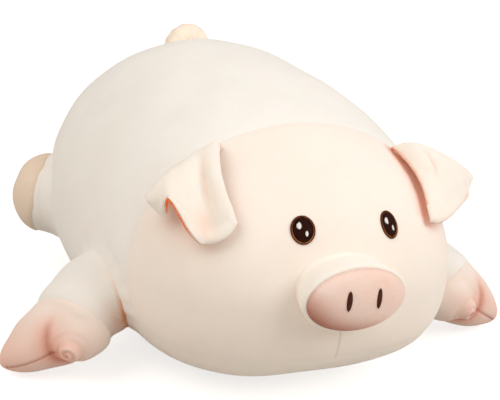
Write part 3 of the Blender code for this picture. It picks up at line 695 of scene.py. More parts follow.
def trotter(name, side, root, seam, seam_way, half, body, node, filling, swing):
    """A stump in the sleeve, two toes and the knot at the inner one, under one skin."""
    across, upright = limb_axes(seam_way)
    bm = bmesh.new()

    def stump(t, turn):
        """The filled end that the sleeve is sewn round."""
        distance = -stump_behind + (stump_reach + stump_behind) * t
        share = max(0.0, distance) / stump_reach
        girth = math.sqrt(max(0.0, 1 - share ** 2)) * min(1.0, math.sqrt(t / stump_rounding + 1e-9))
        return (seam + seam_way * distance + across * (half[0] * girth * math.cos(turn))
                + upright * (half[1] * girth * math.sin(turn)))

    closed_form(bm, 72, 40, stump)
    ways, tips = [], []
    for start, tip, radius, peak, powers in (outer_toe, inner_toe):
        start = seam + np.array(start) * (side, 1, 1)
        tip = swung(on_side(tip, side), root, side, swing)
        way = unit(tip - start)
        start = start - way * toe_behind
        length = np.linalg.norm(tip - start)
        toe_across, toe_upright = limb_axes(way)
        ways.append(way)
        tips.append(tip)

        def toe(t, turn):
            """A long drop with its point outwards."""
            girth = radius * float(swell(t, peak, *powers))
            ring = toe_across * math.cos(turn) + toe_upright * math.sin(turn)
            return start + way * (length * t) + ring * girth

        closed_form(bm, 56, 40, toe)
    knot_place = tips[1] + ways[1] * (knot_out - knot_radius)
    knot_across, knot_upright = limb_axes(ways[1])

    def knot(t, turn):
        """The gathered button of cloth at the inner toe's end."""
        girth = knot_radius * max(0.0, 1 - abs(2 * t - 1) ** knot_power) ** (1 / knot_power)
        return (knot_place + ways[1] * knot_radius * (2 * t - 1)
                + (knot_across * math.cos(turn) + knot_upright * math.sin(turn)) * girth)

    closed_form(bm, 28, 18, knot)
    bm = remeshed(bm, trotter_voxel, trotter_smoothing)
    bmesh.ops.bisect_plane(bm, geom=bm.verts[:] + bm.edges[:] + bm.faces[:], plane_no=seam_way,
                           plane_co=seam - seam_way * trotter_rim_behind, clear_inner=True)
    piece = piece_from(name, bm, pink_velour)
    places, normals = points_of(piece.data), points_of(piece.data, "normal")
    past = (places - seam) @ seam_way
    from_crease = (places - (seam - seam_way * 0.005)) @ unit(ways[0] - ways[1]) + toe_crease_offset
    crease = bell(from_crease, toe_crease_width) * ramp(past, 0.010, 0.028)
    # The knot's cloth is gathered in a spiral round its middle
    from_knot = places - (knot_place + ways[1] * knot_radius * 0.4)
    rise = from_knot @ ways[1]
    flat = from_knot - np.outer(rise, ways[1])
    away = np.linalg.norm(flat, axis=1)
    spin = np.arctan2(flat @ knot_upright, flat @ knot_across)
    spiral = 0.5 + 0.5 * np.cos(2 * math.pi * away / knot_turn_spacing - side * spin)
    gathered = spiral * bell(away, knot_spread) * (rise > -0.020)
    start, end = slit_ends(side, root, swing)
    run = (end - start) * (1, 0, 1)
    share = np.clip(((places - start) @ run) / (run @ run), 0, 1)
    off_slit = np.linalg.norm((places - start - share[:, None] * run) * (1, 0, 1), axis=1)
    slit = bell(off_slit, slit_width) * (normals[:, 1] < 0.1)
    move = (stuffing_lump * 0.5 * np.sin(places @ (150, 90, 120)) - toe_crease_depth * crease
            - knot_groove * gathered - slit_depth * slit
            - trotter_rim_sink * bell(past, trotter_rim_width))
    places = places + normals * move[:, None]
    # What the sleeve hides draws in towards the limb's middle line
    hidden = ramp(-past, 0.0, trotter_rim_behind)
    middle_line = seam + np.outer((places - seam) @ seam_way, seam_way)
    places = places + (middle_line - places) * (0.05 * hidden + 0.10 * hidden ** 2)[:, None]
    places[:, 2] = np.maximum(places[:, 2], floor_clearance)
    piece.data.vertices.foreach_set("co", places.ravel())
    piece.data.update()
    # Painted shade: the crease between the toes is painted pinker and darker, and the slit and the
    # knot's middle darker; the tips and the knot's spiral are pinker
    near_tips = np.maximum(bell(np.linalg.norm(places - tips[0], axis=1), outer_tip_blush_reach),
                           0.7 * bell(np.linalg.norm(places - tips[1], axis=1),
                                      inner_tip_blush_reach))
    painted_valley_shade = bell(from_crease, 0.010) * ramp(past, 0.010, 0.030)
    painted_pit_shade = bell(away, 0.0020) * (rise > 0)
    paint(piece, "blush", ramp(past, 0.0, 0.022) * (0.10 + 0.48 * near_tips + 0.42 * painted_valley_shade
                                                    + 0.25 * gathered))
    paint(piece, "tuck", 0.55 * crease * ramp(past, 0.014, 0.034) + 0.28 * slit + 0.7 * painted_pit_shade)
    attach(piece, body)
    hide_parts(node, filling)
    return piece


trotters = {}
for side_name, side in (("right", -1), ("left", 1)):
    root, swing = on_side(front_root_place, side), front_leg_turns[side_name]
    seam = swung(on_side(front_seam_place, side), root, side, swing)
    root_way = unit(front_root_way, side)
    seam_way = swung(unit(front_seam_way, side), np.zeros(3), side, swing)
    body = "front_leg_" + side_name
    sleeve = leg_sleeve("front_leg_sleeve_cloth_" + side_name, root, seam, root_way, seam_way,
                        front_root_half, front_seam_half, front_fillet)
    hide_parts("front_leg_%s_sleeve" % side_name)
    trotters[side_name] = trotter("front_trotter_cloth_" + side_name, side, root, seam, seam_way,
                                  front_seam_half, body, "front_trotter_" + side_name,
                                  "front_leg_%s_filling" % side_name, swing)


# Rear feet: each rear leg is a short sleeve like the front ones, closed by a round dome of tan
# velour that is sewn into its open end and stuffed with it.

foot_rows, foot_depth, foot_rim_tuck = 24, 0.0330, 0.0012
# Tan velour of the rear feet: matt and evenly warm
tan_velour = velour("tan_knitted_velour", "F4DFC9", "EDD3B9", "C9926A", "F3DCC8")

for side_name, side in (("right", -1), ("left", 1)):
    root, seam = on_side(rear_root_place, side), on_side(rear_seam_place, side)
    way = unit(rear_way, side)
    body = "rear_leg_" + side_name
    sleeve = leg_sleeve("rear_leg_sleeve_cloth_" + side_name, root, seam, way, way,
                        rear_half, rear_half, rear_fillet)
    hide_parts("rear_leg_%s_sleeve" % side_name)
    across, upright = limb_axes(way)
    angles = np.linspace(math.pi / 2, 0.0, foot_rows)
    steps = np.concatenate(([-0.002, -0.0003], foot_depth * np.cos(angles)[1:]))
    girths = np.concatenate(([rear_half[0] - leg_seam_tuck, rear_half[0] - foot_rim_tuck],
                             (rear_half[0] * np.sin(angles))[1:]))
    spin = even_turns(leg_columns)
    rings = np.outer(np.cos(spin), across) + np.outer(np.sin(spin), upright)
    grid = seam + steps[:, None, None] * way + girths[:, None, None] * rings[None]
    grid += way * (stuffing_lump * 0.6 * np.sin(grid @ (120, 140, 100)))[..., None]
    foot = ringed_piece("rear_foot_cloth_" + side_name, grid, way, tan_velour)
    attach(foot, body)
    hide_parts("rear_foot_" + side_name, "rear_leg_%s_filling" % side_name)


# Snout: an oval drum sewn on the face. A cream gusset forms its side and rolls over at the
# front, a disc of pink velour closes it, and stuffing domes the disc.

snout_side_offset, snout_height = -0.004, 0.134
snout_base_half, snout_rim_half = (0.0450, 0.0280), (0.0508, 0.0323)
snout_reach, snout_dome, rim_roll = 0.0200, 0.0165, 0.0032
snout_columns, gusset_rows, roll_rows, disc_rows = 128, 22, 10, 44
gusset_bulge, gusset_flare, roll_end = 0.0012, 0.0018, math.radians(150)
gusset_hem_out, gusset_hem_depth, disc_hem_depth = 0.0022, 0.0030, 0.0030
# How dark the painted shade low round the gusset's foot is, and how far up the gusset it reaches
gusset_painted_shade, gusset_painted_shade_width = 0.5, 0.004

# Pink velour of the disc: the coarsest nap, pale above, with a painted shade of dusty pink and dark
# brown low on the right side
pink_disc_velour = velour("pink_disc_velour", "FFE7DA", "F9D3C1", "7C4A38", "D08A74",
                          pile_mm=1.2, nap=0.8, grain=0.32)


def onto_bag(place, way, out=0.0):
    """Where a line meets the bag, lifted off it."""
    hit, normal, _, _ = bag_surface.ray_cast(Vector(place), Vector(way))
    if hit is None:
        hit, normal, _, _ = bag_surface.find_nearest(Vector(place))
    return np.array(hit + normal * out), np.array(normal)


snout_face_y = onto_bag((0.0, -0.5, snout_height), (0, 1, 0))[0][1]
snout_rim_y = snout_face_y - snout_reach
roll_start_y = snout_rim_y + rim_roll * 0.6
snout_centre = np.array((snout_side_offset, 0, snout_height))
spin = even_turns(snout_columns)


def snout_oval(half, y, grow=0.0):
    """A ring of the drum at a depth, or at a depth of its own for each of its points."""
    x, z = (half[0] + grow) * np.cos(spin), (half[1] + grow) * np.sin(spin)
    return np.stack((x, np.broadcast_to(y, spin.shape), z), axis=1) + snout_centre


base_y = np.array([onto_bag((x, -0.5, z), (0, 1, 0))[0][1]
                   for x, _, z in snout_oval(snout_base_half, 0.0)])
rings = [snout_oval(snout_base_half, base_y + gusset_hem_depth, gusset_hem_out)]
for share in np.linspace(0, 1, gusset_rows):
    half = [b + (r - b) * share for b, r in zip(snout_base_half, snout_rim_half)]
    bulge = gusset_bulge * math.sin(math.pi * min(1.0, share * 0.94 + 0.06))
    rings.append(snout_oval(half, base_y + (roll_start_y - base_y) * share,
                            bulge + gusset_flare * bell(share, 0.10)))
for angle in np.linspace(0, roll_end, roll_rows)[1:]:
    rings.append(snout_oval(snout_rim_half, roll_start_y - rim_roll * math.sin(angle),
                            -rim_roll * (1 - math.cos(angle))))
grid = np.array(rings)
# Cream velour of the gusset: the face's cloth, with a greyer painted shade in its fold
gusset_velour = velour("cream_velour_gusset", "FFF6EB", "FDF0E2", "C9A080", "FFE9D6")
gusset = ringed_piece("snout_gusset_cloth", grid, (grid - snout_centre) * (1, 0, 1), gusset_velour)
places = points_of(gusset.data) - snout_centre
turns = np.arctan2(places[:, 2], places[:, 0]) % (2 * math.pi)
from_base = places[:, 1] - np.interp(turns, spin, base_y, period=2 * math.pi)
# Painted shade: the gusset is painted greyer low round its foot, where it meets the face
painted_shade_below = np.clip(-np.sin(turns + 0.5), 0, 1)
paint(gusset, "tuck", gusset_painted_shade * painted_shade_below * bell(from_base, gusset_painted_shade_width))
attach(gusset, "body")
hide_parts("snout_gusset", "snout_filling")


disc_half = [h - rim_roll * 0.75 for h in snout_rim_half]


def disc_point(x, z, out=0.0):
    """On the domed disc, from its middle: x to the pig's left, z up."""
    rest = np.maximum(0.0, 1 - (x / disc_half[0]) ** 2 - (z / disc_half[1]) ** 2)
    slope = np.stack((x / disc_half[0] ** 2, -np.sqrt(rest) / snout_dome, z / disc_half[1] ** 2),
                     axis=-1)
    slope = slope / np.maximum(np.linalg.norm(slope, axis=-1, keepdims=True), 1e-9)
    point = np.stack((x, snout_rim_y - snout_dome * np.sqrt(rest), z), axis=-1) + snout_centre
    return point + slope * np.asarray(out)[..., None]


shares = np.sin(np.linspace(0, math.pi / 2, disc_rows))[:, None]
grid = disc_point(shares * disc_half[0] * np.cos(spin), shares * disc_half[1] * np.sin(spin))
grid = np.concatenate((grid, grid[-1:] + (0, disc_hem_depth, 0)))
disc = ringed_piece("snout_disc_cloth", grid, (0, -1, 0), pink_disc_velour)
places = points_of(disc.data) - snout_centre
x, z = places[:, 0] / disc_half[0], places[:, 2] / disc_half[1]
edge = np.hypot(x, z)
# Painted shade: the disc is painted pinker and darker low on the right side, and darker round its rim
painted_shade_lower_left = np.clip(-(x * 0.55 + z * 0.85), 0, 1)
paint(disc, "blush", 0.10 + 1.1 * painted_shade_lower_left * np.clip(edge, 0, 1) ** 1.3)
paint(disc, "tuck", 0.22 * ramp(edge, 0.95, 1.0) + 0.60 * painted_shade_lower_left ** 2 * edge ** 2)
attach(disc, "body")
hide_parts("snout_disc")


# Embroidery: satin stitch in glossy rayon thread. Each eye is a dark oval with two white glints,
# in a brown rim. The nostrils are two dark spindles on the disc. The rows of thread are drawn
# 0.6 mm apart, as fine as the picture can show.

thread_spacing, thread_width, thread_height, strand_mm = 0.00062, 0.00078, 0.00050, 1.4
eye_side_offset, eye_spacing, eye_rise_over_snout = 0.0044, 0.0868, 0.0480
eye_widths, eye_leans = {"right": 1.0, "left": 0.80}, {"right": 2.0, "left": 9.0}
eye_drops = {"right": 0.0, "left": 0.0020}
eye_half, eye_rim_width = (0.01125, 0.01320), 0.0016
eye_seat, eye_pad = 0.0003, 0.0009
# The rim is two rows of stitches: how far inside the edge, and each stitch's half length
rim_rows, rim_stitches = ((0.00050, 0.00066), (0.00150, 0.00050)), 90
rim_spacing, rim_width = 0.00056, 0.00066
rim_pad, glint_pad, nostril_pad, pad_skirt = 0.0007, 0.0006, 0.0008, 0.0008
# name, middle and half size
glints = (("large", (-0.0034, 0.0031), (0.0024, 0.0030)),
          ("small", (0.0032, -0.0036), (0.0015, 0.0023)))
nostril_half, nostril_spacing, nostril_rise, nostril_lean = (0.00255, 0.00880), 0.0292, 0.0058, 3
nostril_thread_spacing, nostril_thread_width, nostril_thread_height = 0.0007, 0.0009, 0.0006


def thread(name, colour, light, roughness):
    """Rayon embroidery thread: a silky gloss along each stitch, with paler threads among them, and
    paler still where a painted highlight is written on its points.
    """
    material = bpy.data.materials.new(name)
    tree = empty_tree(material)
    place = add_node(tree, "ShaderNodeTexCoord").outputs["Object"]
    strands = add_node(tree, "ShaderNodeTexNoise", {
        "Vector": place, "Scale": 1000 / strand_mm, "Detail": 2.0})
    picked = add_node(tree, "ShaderNodeMapRange", {
        "Value": strands, "From Min": 0.45, "From Max": 0.75, "To Min": 0.0, "To Max": 0.30})
    # Painted highlight: the blush amount makes the thread paler
    rim = add_node(tree, "ShaderNodeAttribute", attribute_name="blush").outputs["Fac"]
    amount = add_node(tree, "ShaderNodeMath", {0: picked, 1: rim}, operation="ADD",
                      use_clamp=True)
    shade = add_node(tree, "ShaderNodeMix", {
        "Factor": amount, 6: hex_colour(colour), 7: hex_colour(light)}, data_type="RGBA")
    shader = add_node(tree, "ShaderNodeBsdfPrincipled", {
        "Base Color": shade.outputs[2], "Roughness": roughness, "Specular IOR Level": 0.06})
    add_node(tree, "ShaderNodeOutputMaterial", {"Surface": shader})
    return material


# Near-black brown fills the eyes, chestnut the nostrils; rust rims the eyes, paler orange where a
# highlight is painted; white is the glints
dark_thread = thread("dark_brown_rayon_thread", "2A0E08", "52241A", 0.55)
chestnut_thread = thread("chestnut_rayon_thread", "46221A", "8E5642", 0.60)
rim_thread = thread("rust_brown_rayon_thread", "54281A", "BE7A42", 0.50)
white_thread = thread("white_rayon_thread", "F4F1EE", "FFFFFF", 0.40)


def stitch_tree():
    """Rows of spindle-shaped stitches along a path. The path's points carry the half length of
    the stitch that crosses it there."""
    tree = bpy.data.node_groups.new("satin_stitches", "GeometryNodeTree")
    tree.interface.new_socket("Geometry", in_out="INPUT", socket_type="NodeSocketGeometry")
    for name, value in (("Spacing", thread_spacing), ("Half width", thread_width / 2),
                        ("Height", thread_height)):
        socket = tree.interface.new_socket(name, in_out="INPUT", socket_type="NodeSocketFloat")
        socket.default_value = value
    socket = tree.interface.new_socket("Seed", in_out="INPUT", socket_type="NodeSocketInt")
    socket.default_value = 7
    tree.interface.new_socket("Thread", in_out="INPUT", socket_type="NodeSocketMaterial")
    tree.interface.new_socket("Geometry", in_out="OUTPUT", socket_type="NodeSocketGeometry")
    given = add_node(tree, "NodeGroupInput").outputs
    path = add_node(tree, "GeometryNodeMeshToCurve", {"Mesh": given["Geometry"]})
    even = add_node(tree, "GeometryNodeResampleCurve", {
        "Curve": path, "Length": given["Spacing"]}, mode="LENGTH")
    stitch = add_node(tree, "GeometryNodeMeshUVSphere", {"Segments": 6, "Rings": 6, "Radius": 1.0})
    reach = add_node(tree, "GeometryNodeInputNamedAttribute", {"Name": "reach"})
    along = add_node(tree, "GeometryNodeInputTangent")
    turn = add_node(tree, "FunctionNodeAlignRotationToVector", {"Vector": along}, axis="Y")
    jitter = add_node(tree, "FunctionNodeRandomValue", {2: 0.92, 3: 1.06, "Seed": given["Seed"]})
    length = add_node(tree, "ShaderNodeMath", {
        0: reach.outputs["Attribute"], 1: jitter.outputs[1]}, operation="MULTIPLY")
    size = add_node(tree, "ShaderNodeCombineXYZ", {
        "X": length, "Y": given["Half width"], "Z": given["Height"]})
    rows = add_node(tree, "GeometryNodeInstanceOnPoints", {
        "Points": even, "Instance": stitch, "Rotation": turn, "Scale": size})
    real = add_node(tree, "GeometryNodeRealizeInstances", {0: rows})
    dyed = add_node(tree, "GeometryNodeSetMaterial", {
        "Geometry": real, "Material": given["Thread"]})
    add_node(tree, "NodeGroupOutput", {0: dyed})
    return tree


stitches = stitch_tree()


def stitched(path, reaches, closed, material, spacing=thread_spacing, width=thread_width,
             height=thread_height):
    """A row of stitches along a flat path, as points and faces, still laid flat."""
    mesh = bpy.data.meshes.new("path")
    count = len(path)
    edges = [(i, (i + 1) % count) for i in range(count if closed else count - 1)]
    mesh.from_pydata([(float(p[0]), float(p[1]), 0.0) for p in path], edges, [])
    layer = mesh.attributes.new("reach", "FLOAT", "POINT")
    layer.data.foreach_set("value", np.asarray(reaches, np.float32))
    guide = add_object("path", mesh)
    rows = guide.modifiers.new("stitches", "NODES")
    rows.node_group = stitches
    sockets = {s.name: s.identifier for s in stitches.interface.items_tree
               if s.item_type == "SOCKET" and s.in_out == "INPUT"}
    rows[sockets["Spacing"]] = spacing
    rows[sockets["Half width"]] = width / 2
    rows[sockets["Height"]] = height
    rows[sockets["Thread"]] = material
    made = baked(guide)
    points, faces = points_of(made), [tuple(f.vertices) for f in made.polygons]
    bpy.data.meshes.remove(made)
    return points, faces


def flat_pad(half, middle=(0.0, 0.0), hole=None, height=eye_pad, rings=5, segments=44):
    """A low domed pad that fills the gaps between threads, laid flat, with a skirt below it."""
    spin, inner = even_turns(segments), np.array(hole or (0.0, 0.0))
    shares = np.linspace(0, 1, rings)
    rises = height * (np.sin(math.pi * (0.1 + 0.8 * shares)) if hole else 1 - shares ** 3)
    points = []
    for share, rise in (*zip(shares, rises), (1.0, -pad_skirt)):
        a, b = inner + (half - inner) * share
        points += [(middle[0] + a * math.cos(t), middle[1] + b * math.sin(t), rise) for t in spin]
    return np.array(points), grid_faces(rings + 1, segments, closed=True)[:, ::-1].tolist()


def embroidered(name, layers, place_flat, material, nodes, blush=None, body="body"):
    """Joins flat layers of thread into one piece and lays it on its cloth."""
    bm = bmesh.new()
    for points, faces in layers:
        add_faces(bm, place_flat(points), faces)
    bmesh.ops.recalc_face_normals(bm, faces=bm.faces)
    piece = piece_from(name, bm, material)
    if blush is not None:
        paint(piece, "blush", blush(np.concatenate([points for points, _ in layers])))
    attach(piece, body)
    if nodes:
        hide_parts(*nodes)
    return piece


def satin_oval(half, material, middle=(0.0, 0.0), lift=eye_pad, count=24):
    """Satin stitch across an oval, with its pad."""
    heights = np.linspace(-0.985, 0.985, count)
    path = [(middle[0], middle[1] + half[1] * h) for h in heights]
    reaches = half[0] * np.sqrt(1 - heights ** 2) + 0.0002
    points, faces = stitched(path, reaches, False, material)
    across = (points[:, 0] - middle[0]) / half[0]
    points[:, 2] = points[:, 2] * 0.55 + lift * np.clip(1 - np.abs(across) ** 3, 0, 1)
    return points, faces


for side_name, side in (("right", -1), ("left", 1)):
    middle, outward = onto_bag((eye_side_offset + side * eye_spacing / 2, -0.5,
                                snout_height + eye_rise_over_snout - eye_drops[side_name]),
                               (0, 1, 0))
    outward = unit(outward)
    across, upright = limb_axes(outward)
    lean = math.radians(eye_leans[side_name])

    def on_face(points, seat=eye_seat):
        """Lays flat work on the face, turned to the eye's lean."""
        laid = []
        for a, b, h in points:
            a = a * eye_widths[side_name]
            a, b = a * math.cos(lean) + b * math.sin(lean), b * math.cos(lean) - a * math.sin(lean)
            start = middle + across * a + upright * b + outward * 0.03
            hit, normal = onto_bag(start, -outward)
            laid.append(hit + normal * (h + seat))
        return np.array(laid)

    inner = (eye_half[0] - eye_rim_width, eye_half[1] - eye_rim_width)
    fill = satin_oval(inner, dark_thread, count=25)
    embroidered("eye_fill_%s" % side_name, (flat_pad(inner), fill), on_face, dark_thread,
                ("eye_%s_fill" % side_name,))
    spin = even_turns(rim_stitches)
    rim_layers = [flat_pad(eye_half, hole=inner, height=rim_pad, rings=4, segments=60)]
    for shrink, half_length in rim_rows:
        path = np.stack(((eye_half[0] - shrink) * np.cos(spin), (eye_half[1] - shrink) * np.sin(spin)),
                        axis=1)
        points, faces = stitched(path, np.full(rim_stitches, half_length), True, rim_thread,
                                 rim_spacing, rim_width)
        rim_layers.append((points * (1, 1, 0.8) + (0, 0, 0.0006), faces))

    def painted_rim_highlight(flat):
        """Painted highlight: the rim's inner stitches are painted paler below and at the top, where
        they catch the light.
        """
        y = flat[:, 1] / eye_half[1]
        inside = ramp(np.hypot(flat[:, 0] / eye_half[0], y), 0.945, 0.895)
        low = np.clip(0.35 - 0.65 * y, 0.12, 1.0)
        return inside * np.maximum(low, 0.7 * np.clip(y - 0.55, 0, 1))

    embroidered("eye_rim_%s" % side_name, rim_layers, on_face, rim_thread,
                ("eye_%s_ring" % side_name,), painted_rim_highlight)
    for glint_name, spot, half in glints:
        layers = (flat_pad(half, spot, height=glint_pad, rings=3, segments=24),
                  satin_oval(half, white_thread, spot, glint_pad, 12))
        embroidered("eye_%s_glint_%s" % (glint_name, side_name), layers,
                    lambda points: on_face(points, eye_seat + eye_pad), white_thread,
                    ("eye_%s_%s_glint" % (side_name, glint_name),))

for side_name, side in (("right", -1), ("left", 1)):
    heights = np.linspace(-1, 1, 25)
    reaches = nostril_half[0] * (1 - np.abs(heights) ** 2.0) + 0.0003
    path = [(0.0, nostril_half[1] * h) for h in heights]
    rows = stitched(path, reaches, False, chestnut_thread, nostril_thread_spacing,
                    nostril_thread_width, nostril_thread_height)
    pad = flat_pad(nostril_half, height=nostril_pad, rings=4, segments=32)
    lean = math.radians(nostril_lean)

    def on_disc(points):
        """Lays flat work on the domed disc."""
        x, z, h = points.T
        bulge = 0.0006 * np.clip(1 - (x / nostril_half[0]) ** 2, 0, 1)
        return disc_point(side * nostril_spacing / 2 + x * math.cos(lean) + z * math.sin(lean),
                          nostril_rise + z * math.cos(lean) - x * math.sin(lean),
                          h * 0.7 + bulge + 0.0002)

    embroidered("nostril_stitches_%s" % side_name, (pad, rows), on_disc, chestnut_thread,
                ("nostril_%s" % side_name,))


# Overstitches: the slit each trotter was stuffed through, under its outer toe, is closed by hand
# with short slanting stitches of pink thread.

overstitches, overstitch_spacing = 12, 0.0023
overstitch_half_length, overstitch_width, overstitch_height = 0.0013, 0.0007, 0.0004
# Dusty pink polyester: darker than the cloth, so that the row of stitches shows
pink_thread = thread("dusty_pink_polyester_thread", "B06A58", "C98672", 0.60)

for side_name, side in (("right", -1), ("left", 1)):
    root, swing = on_side(front_root_place, side), front_leg_turns[side_name]
    cloth = trotters[side_name].data
    toe = BVHTree.FromPolygons([v.co for v in cloth.vertices], [p.vertices for p in cloth.polygons])
    start, end = slit_ends(side, root, swing)
    path = [(1 - s) * start[[0, 2]] + s * end[[0, 2]]
            for s in np.linspace(0.02, 0.97, overstitches)]
    row = stitched(path, np.full(overstitches, overstitch_half_length), False, pink_thread,
                   overstitch_spacing, overstitch_width, overstitch_height)

    def on_toe(points):
        """Lays flat work on the outer toe, seen from the front."""
        laid = []
        for x, z, h in points:
            hit, normal, _, _ = toe.ray_cast(Vector((x, -0.4, z)), Vector((0, 1, 0)))
            if hit is None:
                hit, normal, _, _ = toe.find_nearest(Vector((x, end[1], z)))
            laid.append(np.array(hit + normal * h))
        return np.array(laid)

    embroidered("trotter_overstitches_" + side_name, (row,), on_toe, pink_thread, (),
                body="front_leg_" + side_name)


# Ears: two flaps sewn to the crown, an ivory outer cloth and a pink lining, sewn round the edge,
# turned out and left soft. The right one is creased down its middle and its outer corner is
# rolled under into a cup. The left one stands out sideways from the face and hangs past it.

ear_root_high = (0.2241 * bag_width, -0.2304 * bag_length, 0.8682 * bag_height)
ear_root_low = (0.4080 * bag_width, -0.2587 * bag_length, 0.6589 * bag_height)
ear_root_lift, ear_rounding_share = 0.0018, 0.14
ear_fold_place_share, ear_fold_width_share = 0.30, 0.12
ear_bow_place_share, ear_bow_width_share = 0.35, 0.30
ear_half_thickness, ear_edge_reach, ear_clearance = 0.0032, 0.0060, 0.0006
ear_press_degrees = 4.2       # how far a flap can be pressed towards the face
ear_columns, ear_rows, ear_set_points = 110, 72, 17
lining_seat_share, lining_seat = 0.3, 0.00015

# The arch is how far the cloth stands off the head between root and tip, at the inner edge and at
# the outer one. The tongue is the part inwards of the cup. The mouth is where the hem opens into
# the cup, and the lip is the edge beyond it, turned in under the arch.
right_ear = {
    "inner_tip": (0.2450 * bag_width, -0.4170 * bag_length, 0.6640 * bag_height),
    "outer_tip": (0.4400 * bag_width, -0.3500 * bag_length, 0.5950 * bag_height),
    "arches": (0.0140, 0.0290), "arch_power": 0.6, "tip_lifts": (0.0090, 0.0120),
    "fold_depth": 0.0100, "root_span": (0.0, 0.87), "rise_power": 0.48,
    "hem_bow": 0.03, "corner_rounding": 0.28, "waist": 0.0080,
    "tongue_side": 0.66, "tongue_edge": 0.16, "cup_cut": 0.42,
    "mouth_place": 0.67, "mouth_width": 0.13, "mouth_height": 0.0240, "mouth_notch": 0.08,
    "lip_turn": 0.0080}
left_ear = {
    "inner_tip": (0.2400 * bag_width, -0.4130 * bag_length, 0.6200 * bag_height),
    "outer_tip": (0.4195 * bag_width, -0.3087 * bag_length, 0.6357 * bag_height),
    "arches": (0.0005, 0.0385), "arch_power": 0.42, "tip_lifts": (0.0035, 0.0340),
    "fold_depth": 0.0, "root_span": (0.23, 1.0), "rise_power": 0.44,
    "hem_bow": 0.04, "corner_rounding": 0.16, "waist": 0.0030,
    "tongue_side": 1.0, "tongue_edge": 0.1, "cup_cut": 0.0,
    "mouth_place": 0.5, "mouth_width": 0.2, "mouth_height": 0.0, "mouth_notch": 0.0,
    "lip_turn": 0.0}

# Creases of the cloth: from and to, as shares along the root and down the flap, depth and width
# in millimetres.
right_ear_creases = (((0.22, 0.40), (0.20, 0.62), 1.2, 4.0), ((0.47, 0.55), (0.36, 0.80), 0.9, 6.0),
                     ((0.12, 0.86), (0.30, 0.88), 1.0, 4.0))
left_ear_creases = (((0.16, 0.16), (0.22, 0.44), 1.6, 2.6), ((0.30, 0.10), (0.20, 0.30), 1.0, 3.5),
                    ((0.05, 0.42), (0.20, 0.52), 1.2, 4.0), ((0.80, 0.72), (0.66, 0.96), 0.9, 6.0))

# The outer cloth: the back's ivory velour, with a warm painted shade and a painted orange glow at an
# edge or a crease
ear_velour = velour("ivory_velour_ear", "FEF3E7", "FCEBDC", "C9501C", "FCD3BC", glow=0.25)
# The lining: pink velour with a painted orange shade and glow in the hollow where it faces the head
lining_velour = velour("pink_velour_ear_lining", "FBE3D5", "F7D5C3", "CF560F", "F2B9A4", glow=0.22)


def curve_through(points, places):
    """A smooth curve through evenly numbered points, taken at shares of its length."""
    points = np.concatenate((2 * points[:1] - points[1:2], points, 2 * points[-1:] - points[-2:-1]))
    at = np.asarray(places) * (len(points) - 3)
    k = np.minimum(at.astype(int), len(points) - 4)
    s = (at - k).reshape(-1, *([1] * (points.ndim - 1)))
    a, b, c, d = (points[k + i] for i in range(4))
    return 0.5 * (2 * b + (c - a) * s + (2 * a - 5 * b + 4 * c - d) * s ** 2
                  + (3 * b - a - 3 * c + d) * s ** 3)


def close_at_the_ends(count):
    """Shares from nought to one, closer together at both ends."""
    even = np.linspace(0, 1, count)
    return 0.45 * even + 0.55 * (1 - np.cos(math.pi * even)) / 2


def nearest_on_the_bag(places):
    """The bag's surface nearest to each place, and its outward side there."""
    hits = [bag_surface.find_nearest(Vector(p))[:2] for p in places]
    return np.array([hit for hit, _ in hits]), np.array([normal for _, normal in hits])


def ear_surface(side, shape, u, v):
    """The middle of a flap, across it from its inner edge (u) and from the root to the hem (v)."""
    u, v = u[None, :], v[:, None]
    across = 0.5 + (u - 0.5) * (1 - ear_rounding_share * v ** 3)

    def across_from(first, second):
        """From the inner edge's value to the outer edge's."""
        return first + (second - first) * across

    high, low, inner_tip, outer_tip = (on_side(p, side) for p in (
        ear_root_high, ear_root_low, shape["inner_tip"], shape["outer_tip"]))
    root = high + (low - high) * across_from(*shape["root_span"])[..., None]
    tip = inner_tip + (outer_tip - inner_tip) * across[..., None]
    # How far down the flap a point lies: less in the rounded corners and beyond the tongue
    mouth = bell(across - shape["mouth_place"], shape["mouth_width"])
    past = ramp(across, shape["tongue_side"] - shape["tongue_edge"], shape["tongue_side"])
    past = past * past * (3 - 2 * past)
    bow = shape["hem_bow"] * bell(across - ear_bow_place_share, ear_bow_width_share)
    reach = v * (1 - shape["corner_rounding"] / 2 * (2 * abs(u - 0.5)) ** 3)
    reach = reach * (1 + (bow - shape["cup_cut"] * past - shape["mouth_notch"] * mouth) * v)
    place = root + (tip - root) * reach[..., None]
    # How far it slides along the root's line: the waist inwards of it and the turned lip
    turned = ramp(across, shape["mouth_place"], 1.0) ** 2 * v
    slid = shape["waist"] * np.sin(math.pi * v) * (1 - across) ** 2 - shape["lip_turn"] * turned
    place = place + (low - high) / np.linalg.norm(low - high) * slid[..., None]
    # How far it stands off the head
    fold = bell(across - ear_fold_place_share, ear_fold_width_share)
    fold = fold * shape["fold_depth"] * np.sin(math.pi * v) ** 2
    low_arch, high_arch = shape["arches"]
    arch = low_arch + (high_arch - low_arch) * across ** shape["arch_power"]
    arch = arch * np.sin(math.pi * v ** shape["rise_power"])
    lift = ear_root_lift + (across_from(*shape["tip_lifts"]) - ear_root_lift) * v ** 2
    lift = lift + arch - fold + shape["mouth_height"] * mouth * v ** 2
    skin, normals = nearest_on_the_bag(place.reshape(-1, 3))
    return (skin + normals * lift.reshape(-1, 1)).reshape(*lift.shape, 3)


